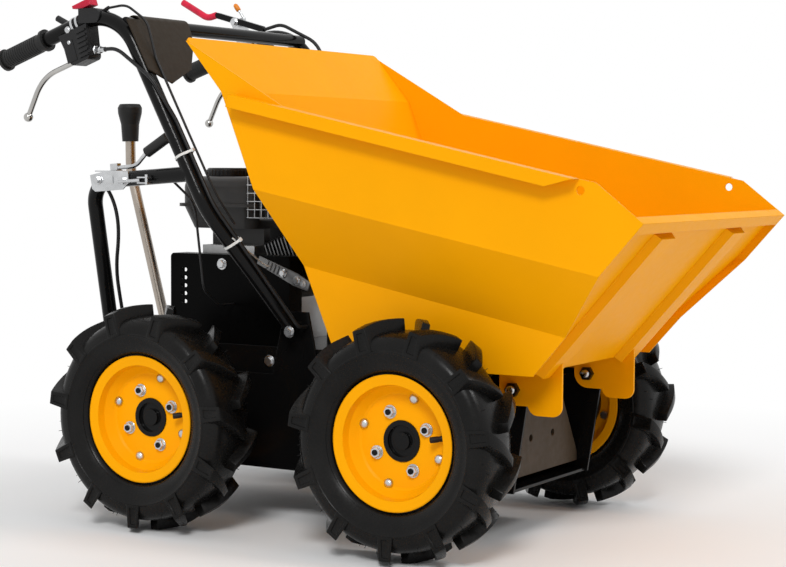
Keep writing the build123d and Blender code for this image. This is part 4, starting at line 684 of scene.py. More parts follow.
def bar_angle(tread, count):
    """The angle round the tyre after a count of bars."""
    return FIRST_BAR + count * 2.0 * math.pi / tread.bars


def carcass(bm, middle):
    """The tyre's smooth body as one closed skin."""
    outline = [(y * MM, r * MM) for y, r in CARCASS_PROFILE]
    outline += [(-y, r) for y, r in reversed(outline)]
    loops = []
    for index in range(TYRE_TURNS):
        angle = 2.0 * math.pi * index / TYRE_TURNS
        loops.append([bm.verts.new(middle + on_wheel(r, angle, y)) for y, r in outline])
    for here, after in zip(loops, loops[1:] + loops[:1]):
        for step in range(len(outline)):
            again = (step + 1) % len(outline)
            bm.faces.new((here[step], here[again], after[again], after[step]))


def tread_bar(bm, middle, rows, first, over):
    """One tread bar with a recessed end at the shoulder, on the side of the tyre that over gives."""
    sections = []
    for across, swing, width, top, foot in rows:
        corners = []
        for reach, height in (
            (-BAR_FOOT_HALF, foot), (-BAR_TOP_HALF, top), (BAR_TOP_HALF, top), (BAR_FOOT_HALF, foot),
        ):
            angle = first - swing + reach * width / height
            corners.append(bm.verts.new(middle + on_wheel(height, angle, over * across)))
        sections.append(corners)
    for here, after in zip(sections, sections[1:]):
        for step in range(len(here)):
            again = (step + 1) % len(here)
            bm.faces.new((here[step], here[again], after[again], after[step]))
    outer_end = bm.faces.new(sections[0])
    bm.faces.new(sections[-1])
    bmesh.ops.recalc_face_normals(bm, faces=bm.faces)
    for width, depth in BAR_END_INSETS:
        bmesh.ops.inset_individual(
            bm, faces=[outer_end], thickness=width * MM, depth=depth * MM, use_even_offset=True,
        )


def tyre_shape(wheel, side, tread):
    """The tyre: a smooth carcass, tread bars with recessed ends and moulding hairs between them."""
    middle, radius, half = wheel_middle(wheel)
    bm = bmesh.new()
    carcass(bm, middle)
    bars = bmesh.new()
    rows = bar_sections(tread, radius, half)
    for turn in (-1, 1):
        for index in range(tread.bars):
            tread_bar(bars, middle, rows, bar_angle(tread, index + turn / 4.0), -side * turn)
    edges = [edge for edge in bars.edges if len(edge.link_faces) == 2]
    soften(bars, [edge for edge in edges if edge.calc_face_angle() > BAR_SHARP_EDGE], tread.edge)
    spare = bpy.data.meshes.new("spare")
    bars.to_mesh(spare)
    bars.free()
    bm.from_mesh(spare)
    bpy.data.meshes.remove(spare)
    hair = [(r * MM, h * MM) for r, h in HAIR_OUTLINE]
    for turn in (-1, 1):
        over = Vector((0.0, -side * turn, 0.0))
        for index in range(tread.bars):
            for share, out, reach in VENT_HAIRS:
                up = on_wheel(1.0, bar_angle(tread, index + turn / 4.0 + share), 0.0)
                foot = middle + over * out * MM + up * reach * MM
                lathe(bm, hair, foot, up * 0.8 + over * 0.35, 5)
    return bm


def wheel_place(wheel, side, radius, angle, out):
    """A place on a wheel's face: radius and angle round the axle, and distance out from the middle."""
    return wheel_middle(wheel)[0] + on_wheel(radius, math.radians(angle), side * out)


WHEEL_NUTS = dict(circle=52.5 * MM, start=25.0, count=4, out=3.0 * MM, height=7.0 * MM, washer=1.2)
RIM_BOLTS = dict(circle=76.5 * MM, start=71.5, count=4, out=3.0 * MM, height=7.0 * MM)
VALVE = dict(circle=84.5 * MM, angle=8.0, out=5.0 * MM)
ROUND_HEAD = [(0.0, 0.0), (1.0, 0.0), (1.0, 0.28), (0.92, 0.52), (0.7, 0.74), (0.38, 0.86), (0.0, 0.9)]
VALVE_OUTLINE = [
    # radius, height, in mm
    (0.0, -2.0), (7.0, -2.0), (7.0, 2.5), (5.6, 4.0), (4.6, 10.0), (4.6, 12.0),
    (5.2, 12.6), (5.2, 25.0), (4.4, 26.0), (0.0, 26.0),
]


def ring_angles(ring):
    """The angles of a ring of fasteners, in degrees."""
    return [ring["start"] + index * 360.0 / ring["count"] for index in range(ring["count"])]


def round_head(radius):
    """The outline of a round bolt head of one radius."""
    return [(r * radius, h * radius) for r, h in ROUND_HEAD]


# Fittings' places and sizes, in mm

SOFT_NODES = [
    "bin_ears", "belt_cover", "lever_boxes", "stop_switch", "stop_button", "drive_arm", "drive_bracket",
]
HINGE_X = 365.0
HINGE_Z = 281.0
HINGE_ENDS = [-167.8, 127.2]
HINGE_THREAD = dict(turns=5, pitch=1.2, root=6.4, crest=7.2, end=5.6, length=6.6)
RIB_FOOT = (423.3, 0.0, 315.0)
RIB_WAY = (0.662, 0.0, 0.749)
RIB_EDGES = [-194.0, -122.0, 122.0, 194.0]
RIB_STITCHES = [24.0, 108.0, 192.0, 272.0]
STITCH = 34.0
EAR_FACES = [-158.5, -153.5, 136.5, 141.5]
EAR_WELD = (342.0, 418.0, 314.6)
AXLE_PLACES = [245.0, -281.0]
AXLE_Z = 204.0
FLANGE_BOLTS = dict(circle=36.0, face=158.0, start=45.0, count=4, size=0.8, height=5.0 * MM)
FRAME_BOLTS = dict(height=5.5 * MM, washer=1.35, turn=0.4)
DECK_BOLTS = [
    # X, distance from the middle, Z
    (-340.0, 145.0, 298.0),
    (-147.0, 145.0, 298.0),
    (-44.0, 145.0, 298.0),
]
FOOT_BOLTS = [
    # X, distance from the middle, Z
    (-79.0, 180.5, 358.0),
    (-489.0, 180.0, 259.0),
]
BOX_FACE = 17.0
SLATS = dict(count=6, along=206.0, lean=1.3, high=-19.0, drop=9.0, size=(22.0, 4.6, 3.6), edge=1.0)
BOX_PANEL = dict(along=170.0, high=-46.0, size=(24.0, 40.0, 2.0), edge=0.9)
BOX_STRAPS = dict(places=(186.0, 198.0), tube=14.2, width=5.0, thickness=1.5)
BOX_BOLTS = [
    # way in, height, distance out from the tube's middle, radius
    (176.0, -6.0, 13.0, 7.0),
    (174.0, -30.0, 17.5, 4.2),
]
ADJUSTER_START = (-443.5, 867.2)
ADJUSTER_WAY = (65.9, 16.0, 0.8)
ADJUSTER_NUT = dict(along=3.0, radius=8.2 * MM, height=4.5 * MM)
ADJUSTER = [
    # radius, height
    (0.0, 0.0), (5.2, 0.0), (5.2, 13.0), (6.6, 13.6), (6.6, 21.0), (5.0, 22.0), (4.6, 34.0), (0.0, 34.0),
]
LOCK_PIN = dict(place=(-500.0, 267.0, 964.0), way=(-15.0, 0.0, 19.0), radius=2.6, length=24.0)
LOCK_TIP_PLACE = (-514.0, 267.0, 981.7)
LOCK_TIP = [
    # radius, height
    (0.0, 0.0), (4.0, 0.0), (5.2, 1.5), (5.4, 10.0), (4.6, 15.0), (2.6, 17.4), (0.0, 18.0),
]
DRIVE_PIVOT = dict(along=174.0, high=50.0, y=250.6, radius=7.5 * MM, height=5.0 * MM, washer=9.5 * MM)
RELEASE_SHEET = 2.5
RELEASE_FACE = 14.6
RELEASE_PLATE = [
    # way along the brace, height
    (10.0, -12.0), (14.0, 14.0), (22.0, 19.6), (92.0, 19.6), (108.0, 8.0), (108.0, -13.0), (52.0, -17.0),
]
RELEASE_ROOF_PLACE = (20.0, 17.4, 16.0)
RELEASE_ROOF = [
    # way along the brace, way across it
    (2.0, -1.0), (72.0, -1.0), (66.0, 24.0), (8.0, 24.0),
]
RELEASE_BOLTS = [
    # way along the brace, height, way out
    (30.0, 2.0, 17.0),
    (96.0, -4.0, 17.0),
]
RELEASE_BOLT = dict(radius=7.0 * MM, height=5.0 * MM, washer=9.0 * MM)
RELEASE_ROD = dict(place=(88.0, -5.0, 22.0), radius=3.0, length=54.0)
FORK = dict(cheeks=(-5.0, 5.0), start=52.0, pin=70.0)
FORK_CHEEK = [
    # way along the rod, way across it
    (0.0, -7.0), (26.0, -7.0), (26.0, 7.0), (0.0, 7.0),
]
FORK_PIN = [
    # radius, height
    (0.0, -9.0), (3.2, -9.0), (3.2, 9.0), (0.0, 9.0),
]
BRACE_CABLE = [
    # X, Y, Z
    (-448.0, -276.0, 634.0),
    (-435.0, -262.0, 619.0),
    (-417.0, -256.0, 580.0),
    (-420.0, -243.0, 530.0),
    (-446.0, -222.0, 461.0),
    (-449.0, -203.0, 393.0),
    (-452.0, -178.0, 310.0),
    (-448.0, -151.0, 262.0),
]
TIES = [
    # place on the right, the tube's way, the way to the cable
    ((-238.6, 284.0, 673.0), (0.478, 0.0, -0.878), (0.878, 0.0, 0.478)),
    ((-157.7, 249.3, 517.0), (0.389, -0.445, -0.807), (0.922, 0.188, 0.341)),
]
TIED_RODS = [
    # across, up, radius
    (0.0, 0.0, 14.0),
    (18.4, 0.0, 3.6),
]
INNER_ROD = (17.6, 3.6)
TIE_THICKNESS = 1.6
TIE_LOCK = dict(out=22.5, size=(6.5, 6.5, 4.5), edge=0.8)
GROUND_WIRE = [
    # X, Y, Z
    (-146.0, -262.0, 528.0),
    (-140.0, -240.0, 512.0),
    (-144.0, -205.0, 497.0),
    (-150.0, -165.0, 478.0),
    (-146.0, -149.0, 472.0),
]
SWITCH_WIRE_HEAD = [
    # X, Y, Z
    (-430.0, -284.0, 931.0),
    (-422.0, -284.0, 937.0),
    (-412.0, -284.0, 942.7),
    (-408.0, -284.0, 944.0),
]
SWITCH_WIRE_TAIL = [
    # X, Y, Z
    (-250.0, -266.6, 734.0),
    (-238.0, -266.6, 712.0),
    (-216.0, -266.6, 672.0),
    (-192.0, -266.6, 628.0),
    (-174.0, -262.0, 592.0),
    (-156.0, -242.0, 552.0),
]
FLUTED_CAPS = [
    # place, inner radius, outer radius, low, high, flutes
    ((-311.0, -45.0, 636.0), 43.4, 45.0, 1.5, 12.0, 34),
    ((-141.0, 88.0, 639.6), 11.0, 13.0, 0.0, 12.0, 8),
]
STARTER_FACE = (-255.0, 159.6, 431.0)
STARTER_BOSS = [
    # radius, height
    (0.0, 0.0), (19.0, 0.0), (19.0, 4.0), (16.0, 6.5), (0.0, 6.5),
]
STARTER_LOUVRES = dict(count=18, circle=40.0 * MM, size=(30.0, 4.0, 2.4))
PULL_HANDLE_PLACE = (-329.0, 136.0, 522.0)
PULL_HANDLE = [
    # radius, height
    (0.0, 0.0), (5.0, 0.6), (8.0, 4.0), (8.8, 25.0), (8.0, 46.0), (5.0, 49.4), (0.0, 50.0),
]
PULL_GUIDE_PLACE = (-304.0, 136.0, 520.0)
PULL_GUIDE = [
    # radius, height
    (0.0, 0.0), (5.6, 0.0), (7.0, 14.0), (0.0, 14.0),
]
GUARD_WIRES = dict(
    start=-212.0, end=-88.0, low=560.0, high=636.0, pitch=15.2, y=-125.4, radius=0.9,
    flat=6, upright=9, inset=1.0, behind=1.6,
)
ENGINE_BOLT = dict(height=0.65, washer=1.35, turn=0.3)
ENGINE_BOLTS = [
    # X, Y, Z, way, radius
    (-256.6, -143.0, 473.0, (0, -1, 0), 8.0),
    (-116.0, -146.4, 461.0, (0, -1, 0), 6.0),
    (-86.0, -146.4, 448.5, (0, -1, 0), 6.0),
    (-72.0, -146.4, 443.0, (0, -1, 0), 5.0),
    (-303.0, 152.0, 479.0, (0, 1, 0), 5.0),
    (-207.0, 152.0, 479.0, (0, 1, 0), 5.0),
    (-255.0, 152.0, 363.0, (0, 1, 0), 5.0),
]
LINK_PLACE = (-172.0, -143.2, 484.0)
LINK_WAY = (112.0, 0.0, -46.0)
LINK_SHEET = 3.0
LINK_RIBS = dict(count=6, start=22.0, pitch=8.5, level=2.6, size=(4.0, 16.0, 2.4), edge=0.9)
LINK_OUTLINE = [
    # along, up
    (0.0, -8.0), (90.0, -12.0), (121.0, -9.0), (121.0, 9.0), (90.0, 12.0), (0.0, 8.0),
]
PLUG_BOOT_PLACE = (-86.0, -58.0, 491.0)
PLUG_BOOT_WAY = (0.8, -0.3, 0.2)
PLUG_BOOT = [
    # radius, height
    (0.0, 0.0), (9.0, 0.0), (9.0, 10.0), (7.0, 13.0), (7.0, 24.0), (4.4, 27.0), (0.0, 27.0),
]
PLUG_LEAD = [
    # X, Y, Z
    (-64.0, -66.0, 496.0),
    (-46.0, -72.0, 500.0),
    (-42.0, -20.0, 478.0),
    (-58.0, 50.0, 452.0),
    (-110.0, 92.0, 440.0),
    (-188.0, 84.0, 436.0),
]
GRIP_START = 14.0
GRIP_RUN = 86.0
GRIP_RADIUS = 16.9
RING_SHARE = 0.42
RING_HEIGHT = 0.8


class BARROW_OT_finishes(Operator):
    """Gives every node of the frame its finish"""

    bl_idname = "barrow.finishes"
    bl_label = "Finishes"

    def execute(self, context):
        FINISHES.update(make_finishes(context.scene.barrow_colours))
        for name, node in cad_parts.items():
            node.data.materials.clear()
            node.data.materials.append(FINISHES[finish_of(name)])
        return {"FINISHED"}


class BARROW_OT_tyres(Operator):
    """Makes the farm tyres and puts them in the place of the plain ones"""

    bl_idname = "barrow.tyres"
    bl_label = "Tyres"

    def execute(self, context):
        for wheel, side in WHEELS:
            bm = tyre_shape(wheel, side, context.scene.barrow_tread)
            tyre = new_piece("farm_tyre_" + wheel, bm, "tyre rubber", "wheel_" + wheel)
            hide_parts("tyre_" + wheel)
        return {"FINISHED"}


class BARROW_OT_wheel_fasteners(Operator):
    """Adds the wheel nuts, the rims' clamp bolts and the valve stems"""

    bl_idname = "barrow.wheel_fasteners"
    bl_label = "Wheel fasteners"

    def execute(self, context):
        sizes = context.scene.barrow_fittings
        for wheel, side in WHEELS:
            body = "wheel_" + wheel
            way = (0, side, 0)
            nuts = bmesh.new()
            for angle in ring_angles(WHEEL_NUTS):
                place = wheel_place(wheel, side, WHEEL_NUTS["circle"], angle, WHEEL_NUTS["out"])
                washer = WHEEL_NUTS["washer"] * sizes.wheel_nut
                hex_bolt(nuts, place, way, sizes.wheel_nut, WHEEL_NUTS["height"], washer, math.radians(angle))
            new_piece("wheel_nuts_" + wheel, nuts, "zinc plate", body)
            bolts = bmesh.new()
            for angle in ring_angles(RIM_BOLTS):
                place = wheel_place(wheel, side, RIM_BOLTS["circle"], angle, RIM_BOLTS["out"])
                lathe(bolts, round_head(sizes.rim_bolt), place, way, 24)
                inner = wheel_place(wheel, side, RIM_BOLTS["circle"], angle, -RIM_BOLTS["out"])
                turn = math.radians(angle)
                hex_bolt(bolts, inner, (0, -side, 0), sizes.rim_bolt, RIM_BOLTS["height"], 0.0, turn)
            new_piece("rim_bolts_" + wheel, bolts, "zinc plate", body)
            stem = bmesh.new()
            place = wheel_place(wheel, side, VALVE["circle"], VALVE["angle"], VALVE["out"])
            turn = math.radians(VALVE["angle"])
            lean = Vector((-math.cos(turn), side, -math.sin(turn)))
            lathe(stem, [(r * MM, h * MM) for r, h in VALVE_OUTLINE], place, lean, 18)
            new_piece("valve_stem_" + wheel, stem, "black moulding", body)
        return {"FINISHED"}


class BARROW_OT_sheet_edges(Operator):
    """Softens the edges of the sheet metal and the moulded boxes"""

    bl_idname = "barrow.sheet_edges"
    bl_label = "Sheet edges"

    def execute(self, context):
        for name in SOFT_NODES:
            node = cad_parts[name]
            weld = node.modifiers.new("weld", "WELD")
            weld.merge_threshold = 0.02 * MM
            bevel = node.modifiers.new("edges", "BEVEL")
            bevel.width = context.scene.barrow_fittings.sheet_edge
            bevel.segments = 2
            bevel.limit_method = "ANGLE"
            bevel.angle_limit = math.radians(40.0)
        return {"FINISHED"}


class BARROW_OT_hinge_bolts(Operator):
    """Adds the threaded ends on the tipping hinge's pins"""

    bl_idname = "barrow.hinge_bolts"
    bl_label = "Hinge bolts"

    def execute(self, context):
        thread = HINGE_THREAD
        ends = bmesh.new()
        for y in HINGE_ENDS:
            outline = [(0.0, -2.0)]
            for index in range(thread["turns"]):
                rise = index * thread["pitch"]
                outline += [(thread["root"], 0.2 + rise), (thread["crest"], 0.8 + rise)]
            outline += [(thread["end"], thread["length"]), (0.0, thread["length"])]
            turned(ends, outline, (HINGE_X, y, HINGE_Z), (0, -1, 0))
        new_piece("hinge_pin_ends", ends, "zinc plate", "chassis")
        return {"FINISHED"}


class BARROW_OT_bin_welds(Operator):
    """Adds the stitch welds along the bin's ribs and on its ears"""

    bl_idname = "barrow.bin_welds"
    bl_label = "Bin welds"

    def execute(self, context):
        beads = bmesh.new()
        radius = context.scene.barrow_fittings.weld
        start, way = Vector(RIB_FOOT), Vector(RIB_WAY).normalized()
        for y in RIB_EDGES:
            for along in RIB_STITCHES:
                low = start + way * along
                high = start + way * (along + STITCH)
                weld_bead(beads, (low.x, y, low.z), (high.x, y, high.z), radius)
        for y in EAR_FACES:
            weld_bead(beads, (EAR_WELD[0], y, EAR_WELD[2]), (EAR_WELD[1], y, EAR_WELD[2]), radius)
        new_piece("bin_weld_beads", beads, "yellow coat", "bin")
        return {"FINISHED"}


class BARROW_OT_chassis_bolts(Operator):
    """Adds the bolts of the axle flanges, the engine deck and the handlebar's feet"""

    bl_idname = "barrow.chassis_bolts"
    bl_label = "Chassis bolts"

    def execute(self, context):
        size = context.scene.barrow_fittings.frame_bolt
        bright = bmesh.new()
        dark = bmesh.new()
        for side in (-1, 1):
            way = (0, side, 0)
            for x, out, z in DECK_BOLTS + FOOT_BOLTS:
                place = Vector((x, side * out, z)) * MM
                washer = FRAME_BOLTS["washer"] * size
                hex_bolt(bright, place, way, size, FRAME_BOLTS["height"], washer, FRAME_BOLTS["turn"])
            for axle in AXLE_PLACES:
                for degrees in ring_angles(FLANGE_BOLTS):
                    angle = math.radians(degrees)
                    x = axle + FLANGE_BOLTS["circle"] * math.cos(angle)
                    z = AXLE_Z + FLANGE_BOLTS["circle"] * math.sin(angle)
                    place = Vector((x, side * FLANGE_BOLTS["face"], z)) * MM
                    radius = FLANGE_BOLTS["size"] * size
                    hex_bolt(dark, place, way, radius, FLANGE_BOLTS["height"], 0.0, angle)
        new_piece("deck_and_foot_bolts", bright, "zinc plate", "chassis")
        new_piece("axle_flange_bolts", dark, "dark steel", "chassis")
        return {"FINISHED"}


class BARROW_OT_lever_fittings(Operator):
    """Adds the lever boxes' ribs, straps, bolts and cable adjusters"""

    bl_idname = "barrow.lever_fittings"
    bl_label = "Lever fittings"

    def execute(self, context):
        for name, side in SIDES:
            face = side * (HANDLE_HALF + BOX_FACE)
            slats = bmesh.new()
            for index in range(SLATS["count"]):
                along = SLATS["along"] - SLATS["lean"] * index
                middle = grip_place(along, SLATS["high"] - SLATS["drop"] * index, face - side)
                block(slats, *SLATS["size"], axes(middle, GRIP_WAY, (0, side, 0)), SLATS["edge"])
            middle = grip_place(BOX_PANEL["along"], BOX_PANEL["high"], face - side)
            block(slats, *BOX_PANEL["size"], axes(middle, GRIP_WAY, (0, side, 0)), BOX_PANEL["edge"])
            new_piece("lever_box_ribs_" + name, slats, "black moulding", "chassis")
            straps = bmesh.new()
            for along in BOX_STRAPS["places"]:
                frame_at = axes(grip_place(along, 0.0, side * HANDLE_HALF), GRIP_UP, GRIP_WAY)
                tube = [(0.0, 0.0, BOX_STRAPS["tube"])]
                strap(straps, tube, frame_at, BOX_STRAPS["width"], BOX_STRAPS["thickness"])
            for along, high, out, radius in BOX_BOLTS:
                place = grip_place(along, high, side * (HANDLE_HALF + out))
                turned(straps, round_head(radius), place, (0, side, 0))
            start = Vector((ADJUSTER_START[0], side * HANDLE_HALF, ADJUSTER_START[1]))
            way = Vector((ADJUSTER_WAY[0], side * ADJUSTER_WAY[1], ADJUSTER_WAY[2]))
            turned(straps, ADJUSTER, start, way, 20)
            nut = (start + way.normalized() * ADJUSTER_NUT["along"]) * MM
            hex_bolt(straps, nut, way, ADJUSTER_NUT["radius"], ADJUSTER_NUT["height"])
            new_piece("lever_box_metal_" + name, straps, "zinc plate", "chassis")
        return {"FINISHED"}


class BARROW_OT_drive_fittings(Operator):
    """Adds the drive lever's pivot bolt and its lock pin with a coloured tip"""

    bl_idname = "barrow.drive_fittings"
    bl_label = "Drive fittings"

    def execute(self, context):
        metal = bmesh.new()
        plain_rod(metal, LOCK_PIN["radius"], LOCK_PIN["length"], LOCK_PIN["place"], LOCK_PIN["way"])
        bolt = DRIVE_PIVOT
        pivot = grip_place(bolt["along"], bolt["high"], bolt["y"]) * MM
        hex_bolt(metal, pivot, (0, -1, 0), bolt["radius"], bolt["height"], bolt["washer"])
        new_piece("lock_pin", metal, "zinc plate", "chassis")
        tip = bmesh.new()
        turned(tip, LOCK_TIP, LOCK_TIP_PLACE, LOCK_PIN["way"], 20)
        new_piece("lock_pin_tip", tip, "orange tip", "chassis")
        return {"FINISHED"}


class BARROW_OT_release_linkage(Operator):
    """Adds the bin release's bracket, its rod with a fork and its cable"""

    bl_idname = "barrow.release_linkage"
    bl_label = "Release linkage"

    def execute(self, context):
        metal = bmesh.new()
        along = Vector((BRACE_WAY.x, -BRACE_WAY.y, BRACE_WAY.z))
        out = Vector((-BRACE_WAY.y, -BRACE_WAY.x, 0.0)).normalized()
        flat = axes(brace_place(0.0, 0.0, RELEASE_FACE), along, out)
        plate(metal, [(x, -y) for x, y in RELEASE_PLATE], RELEASE_SHEET, flat)
        roof = axes(brace_place(*RELEASE_ROOF_PLACE), along, (0, 0, 1))
        plate(metal, RELEASE_ROOF, RELEASE_SHEET, roof)
        bolt = RELEASE_BOLT
        for place in RELEASE_BOLTS:
            hex_bolt(metal, brace_place(*place) * MM, out, bolt["radius"], bolt["height"], bolt["washer"])
        start = brace_place(*RELEASE_ROD["place"])
        plain_rod(metal, RELEASE_ROD["radius"], RELEASE_ROD["length"], start, along)
        for offset in FORK["cheeks"]:
            aside = Vector((0, 0, offset - RELEASE_SHEET / 2.0))
            cheek = axes(start + along * FORK["start"] + aside, along, (0, 0, 1))
            plate(metal, FORK_CHEEK, RELEASE_SHEET, cheek)
        turned(metal, FORK_PIN, start + along * FORK["pin"], (0, 0, 1), 16)
        new_piece("release_bracket", metal, "zinc plate", "chassis")
        wire("rear_brace_cable", BRACE_CABLE, 3.5, "black moulding")
        return {"FINISHED"}


class BARROW_OT_cable_ties(Operator):
    """Adds the ties that hold the cables to the uprights"""

    bl_idname = "barrow.cable_ties"
    bl_label = "Cable ties"

    def execute(self, context):
        width = context.scene.barrow_fittings.tie_width / MM
        ties = bmesh.new()
        for side in (-1, 1):
            rods = TIED_RODS + [(0.0, side * INNER_ROD[0], INNER_ROD[1])]
            for place, along, across in TIES:
                place = Vector((place[0], side * place[1], place[2]))
                along = (along[0], side * along[1], along[2])
                across = (across[0], side * across[1], across[2])
                strap(ties, rods, axes(place, across, along), width, TIE_THICKNESS)
                lock = axes(place + Vector(across).normalized() * TIE_LOCK["out"], along, across)
                block(ties, *TIE_LOCK["size"], lock, TIE_LOCK["edge"])
        new_piece("cable_ties", ties, "white nylon", "chassis")
        wire("ground_wire", GROUND_WIRE, 1.4, "white nylon")
        wire("switch_wire_boot", SWITCH_WIRE_HEAD, 3.4, "black moulding")
        wire("switch_wire_tail", SWITCH_WIRE_TAIL, 2.3, "black moulding")
        return {"FINISHED"}


class BARROW_OT_engine_fittings(Operator):
    """Adds the cap's flutes, the covers' bolts, the linkage, the starter's louvres and the plug lead"""

    bl_idname = "barrow.engine_fittings"
    bl_label = "Engine fittings"

    def execute(self, context):
        black = bmesh.new()
        for place, inner, outer, low, high, flutes in FLUTED_CAPS:
            fluted(black, inner, outer, low, high, flutes, axes(place, (1, 0, 0), (0, 0, 1)))
        face = axes(STARTER_FACE, (1, 0, 0), (0, 1, 0))
        turned(black, STARTER_BOSS, STARTER_FACE, (0, 1, 0), 32)
        out = Matrix.Translation((STARTER_LOUVRES["circle"], 0.0, 0.0))
        for index in range(STARTER_LOUVRES["count"]):
            turn = Matrix.Rotation(2.0 * math.pi * index / STARTER_LOUVRES["count"], 4, "Z")
            block(black, *STARTER_LOUVRES["size"], face @ turn @ out)
        turned(black, PULL_HANDLE, PULL_HANDLE_PLACE, (1, 0, 0))
        turned(black, PULL_GUIDE, PULL_GUIDE_PLACE, (0, 0, -1), 18)
        new_piece("engine_mouldings", black, "black moulding", "chassis")
        metal = bmesh.new()
        for x, y, z, way, radius in ENGINE_BOLTS:
            place = Vector((x, y, z)) * MM
            height, washer = ENGINE_BOLT["height"] * radius * MM, ENGINE_BOLT["washer"] * radius * MM
            hex_bolt(metal, place, way, radius * MM, height, washer, ENGINE_BOLT["turn"])
        wires = GUARD_WIRES
        for index in range(wires["flat"]):
            place = (wires["start"], wires["y"], wires["low"] + index * wires["pitch"])
            plain_rod(metal, wires["radius"], wires["end"] - wires["start"], place, (1, 0, 0), 8)
        for index in range(wires["upright"]):
            x = wires["start"] + wires["inset"] + index * wires["pitch"]
            place = (x, wires["y"] + wires["behind"], wires["low"])
            plain_rod(metal, wires["radius"], wires["high"] - wires["low"], place, (0, 0, 1), 8)
        new_piece("engine_bolts_and_guard_wires", metal, "zinc plate", "chassis")
        arm = bmesh.new()
        link = axes(LINK_PLACE, LINK_WAY, (0, -1, 0))
        plate(arm, LINK_OUTLINE, LINK_SHEET, link)
        for index in range(LINK_RIBS["count"]):
            along = LINK_RIBS["start"] + LINK_RIBS["pitch"] * index
            place = Matrix.Translation(Vector((along, 0.0, LINK_RIBS["level"])) * MM)
            block(arm, *LINK_RIBS["size"], link @ place, LINK_RIBS["edge"])
        new_piece("governor_link", arm, "fin alloy", "chassis")
        boot = bmesh.new()
        turned(boot, PLUG_BOOT, PLUG_BOOT_PLACE, PLUG_BOOT_WAY, 20)
        new_piece("plug_boot", boot, "soft grip", "chassis")
        wire("plug_lead", PLUG_LEAD, 3.4, "soft grip")
        return {"FINISHED"}


class BARROW_OT_grip_rings(Operator):
    """Adds the rings round the rubber grips"""

    bl_idname = "barrow.grip_rings"
    bl_label = "Grip rings"

    def execute(self, context):
        pitch = context.scene.barrow_fittings.grip_pitch / MM
        rings = bmesh.new()
        for side in (-1, 1):
            for index in range(int(GRIP_RUN / pitch)):
                middle = grip_place(GRIP_START + index * pitch, 0.0, side * HANDLE_HALF)
                frame_at = axes(middle, GRIP_UP, GRIP_WAY)
                strap(rings, [(0.0, 0.0, GRIP_RADIUS)], frame_at, RING_SHARE * pitch, RING_HEIGHT)
        new_piece("grip_rings", rings, "soft grip", "chassis")
        return {"FINISHED"}


# Stage

FLOOR_HALF = 60.0
FLOOR_TONES = [(0.93, 0.93, 0.93), (0.95, 0.95, 0.95)]
FLOOR_FADE = (0.8, 1.9)
WHITE = (1.0, 1.0, 1.0, 1.0)
KEY_LAMP = dict(angle=16.0, way=(-0.4, 0.85, -0.75))
RIM_LAMP = dict(angle=9.0, way=(-0.75, -0.15, -0.65))


def seen_rays(nodes, links):
    """One for rays from the camera, from a gloss or through glass, otherwise nothing."""
    rays = nodes.new("ShaderNodeLightPath")
    shiny = nodes.new("ShaderNodeMath")
    shiny.operation = "MAXIMUM"
    links.new(rays.outputs["Is Glossy Ray"], shiny.inputs[0])
    links.new(rays.outputs["Is Transmission Ray"], shiny.inputs[1])
    either = nodes.new("ShaderNodeMath")
    either.operation = "MAXIMUM"
    links.new(rays.outputs["Is Camera Ray"], either.inputs[0])
    links.new(shiny.outputs[0], either.inputs[1])
    return either.outputs[0]


def floor_finish():
    """A pale matt floor that turns to plain white away from the barrow."""
    pale, nodes, links, shader, place = finish_nodes("pale_floor")
    cloud = speckle(nodes, links, place, 1.2)
    links.new(ramp_between(nodes, links, cloud, *FLOOR_TONES), shader.inputs["Base Color"])
    shader.inputs["Roughness"].default_value = 0.9
    shader.inputs["Specular IOR Level"].default_value = 0.1
    far = nodes.new("ShaderNodeVectorMath")
    far.operation = "LENGTH"
    links.new(place, far.inputs[0])
    fade = nodes.new("ShaderNodeMapRange")
    fade.inputs["From Min"].default_value = FLOOR_FADE[0]
    fade.inputs["From Max"].default_value = FLOOR_FADE[1]
    links.new(far.outputs["Value"], fade.inputs["Value"])
    share = nodes.new("ShaderNodeMath")
    share.operation = "MULTIPLY"
    links.new(fade.outputs["Result"], share.inputs[0])
    links.new(seen_rays(nodes, links), share.inputs[1])
    white = nodes.new("ShaderNodeEmission")
    joined = nodes.new("ShaderNodeMixShader")
    links.new(share.outputs[0], joined.inputs["Fac"])
    links.new(shader.outputs[0], joined.inputs[1])
    links.new(white.outputs[0], joined.inputs[2])
    links.new(joined.outputs[0], nodes["Material Output"].inputs["Surface"])
    return pale


def studio_world(strength):
    """Even light from all round, in front of a white backdrop."""
    world = bpy.data.worlds.new("studio")
    world.use_nodes = True
    nodes, links = world.node_tree.nodes, world.node_tree.links
    sky = nodes["Background"]
    sky.inputs["Color"].default_value = WHITE
    sky.inputs["Strength"].default_value = strength
    seen = nodes.new("ShaderNodeBackground")
    seen.inputs["Color"].default_value = WHITE
    seen.inputs["Strength"].default_value = 1.0
    mix = nodes.new("ShaderNodeMixShader")
    links.new(seen_rays(nodes, links), mix.inputs["Fac"])
    links.new(sky.outputs[0], mix.inputs[1])
    links.new(seen.outputs[0], mix.inputs[2])
    links.new(mix.outputs[0], nodes["World Output"].inputs["Surface"])
    return world


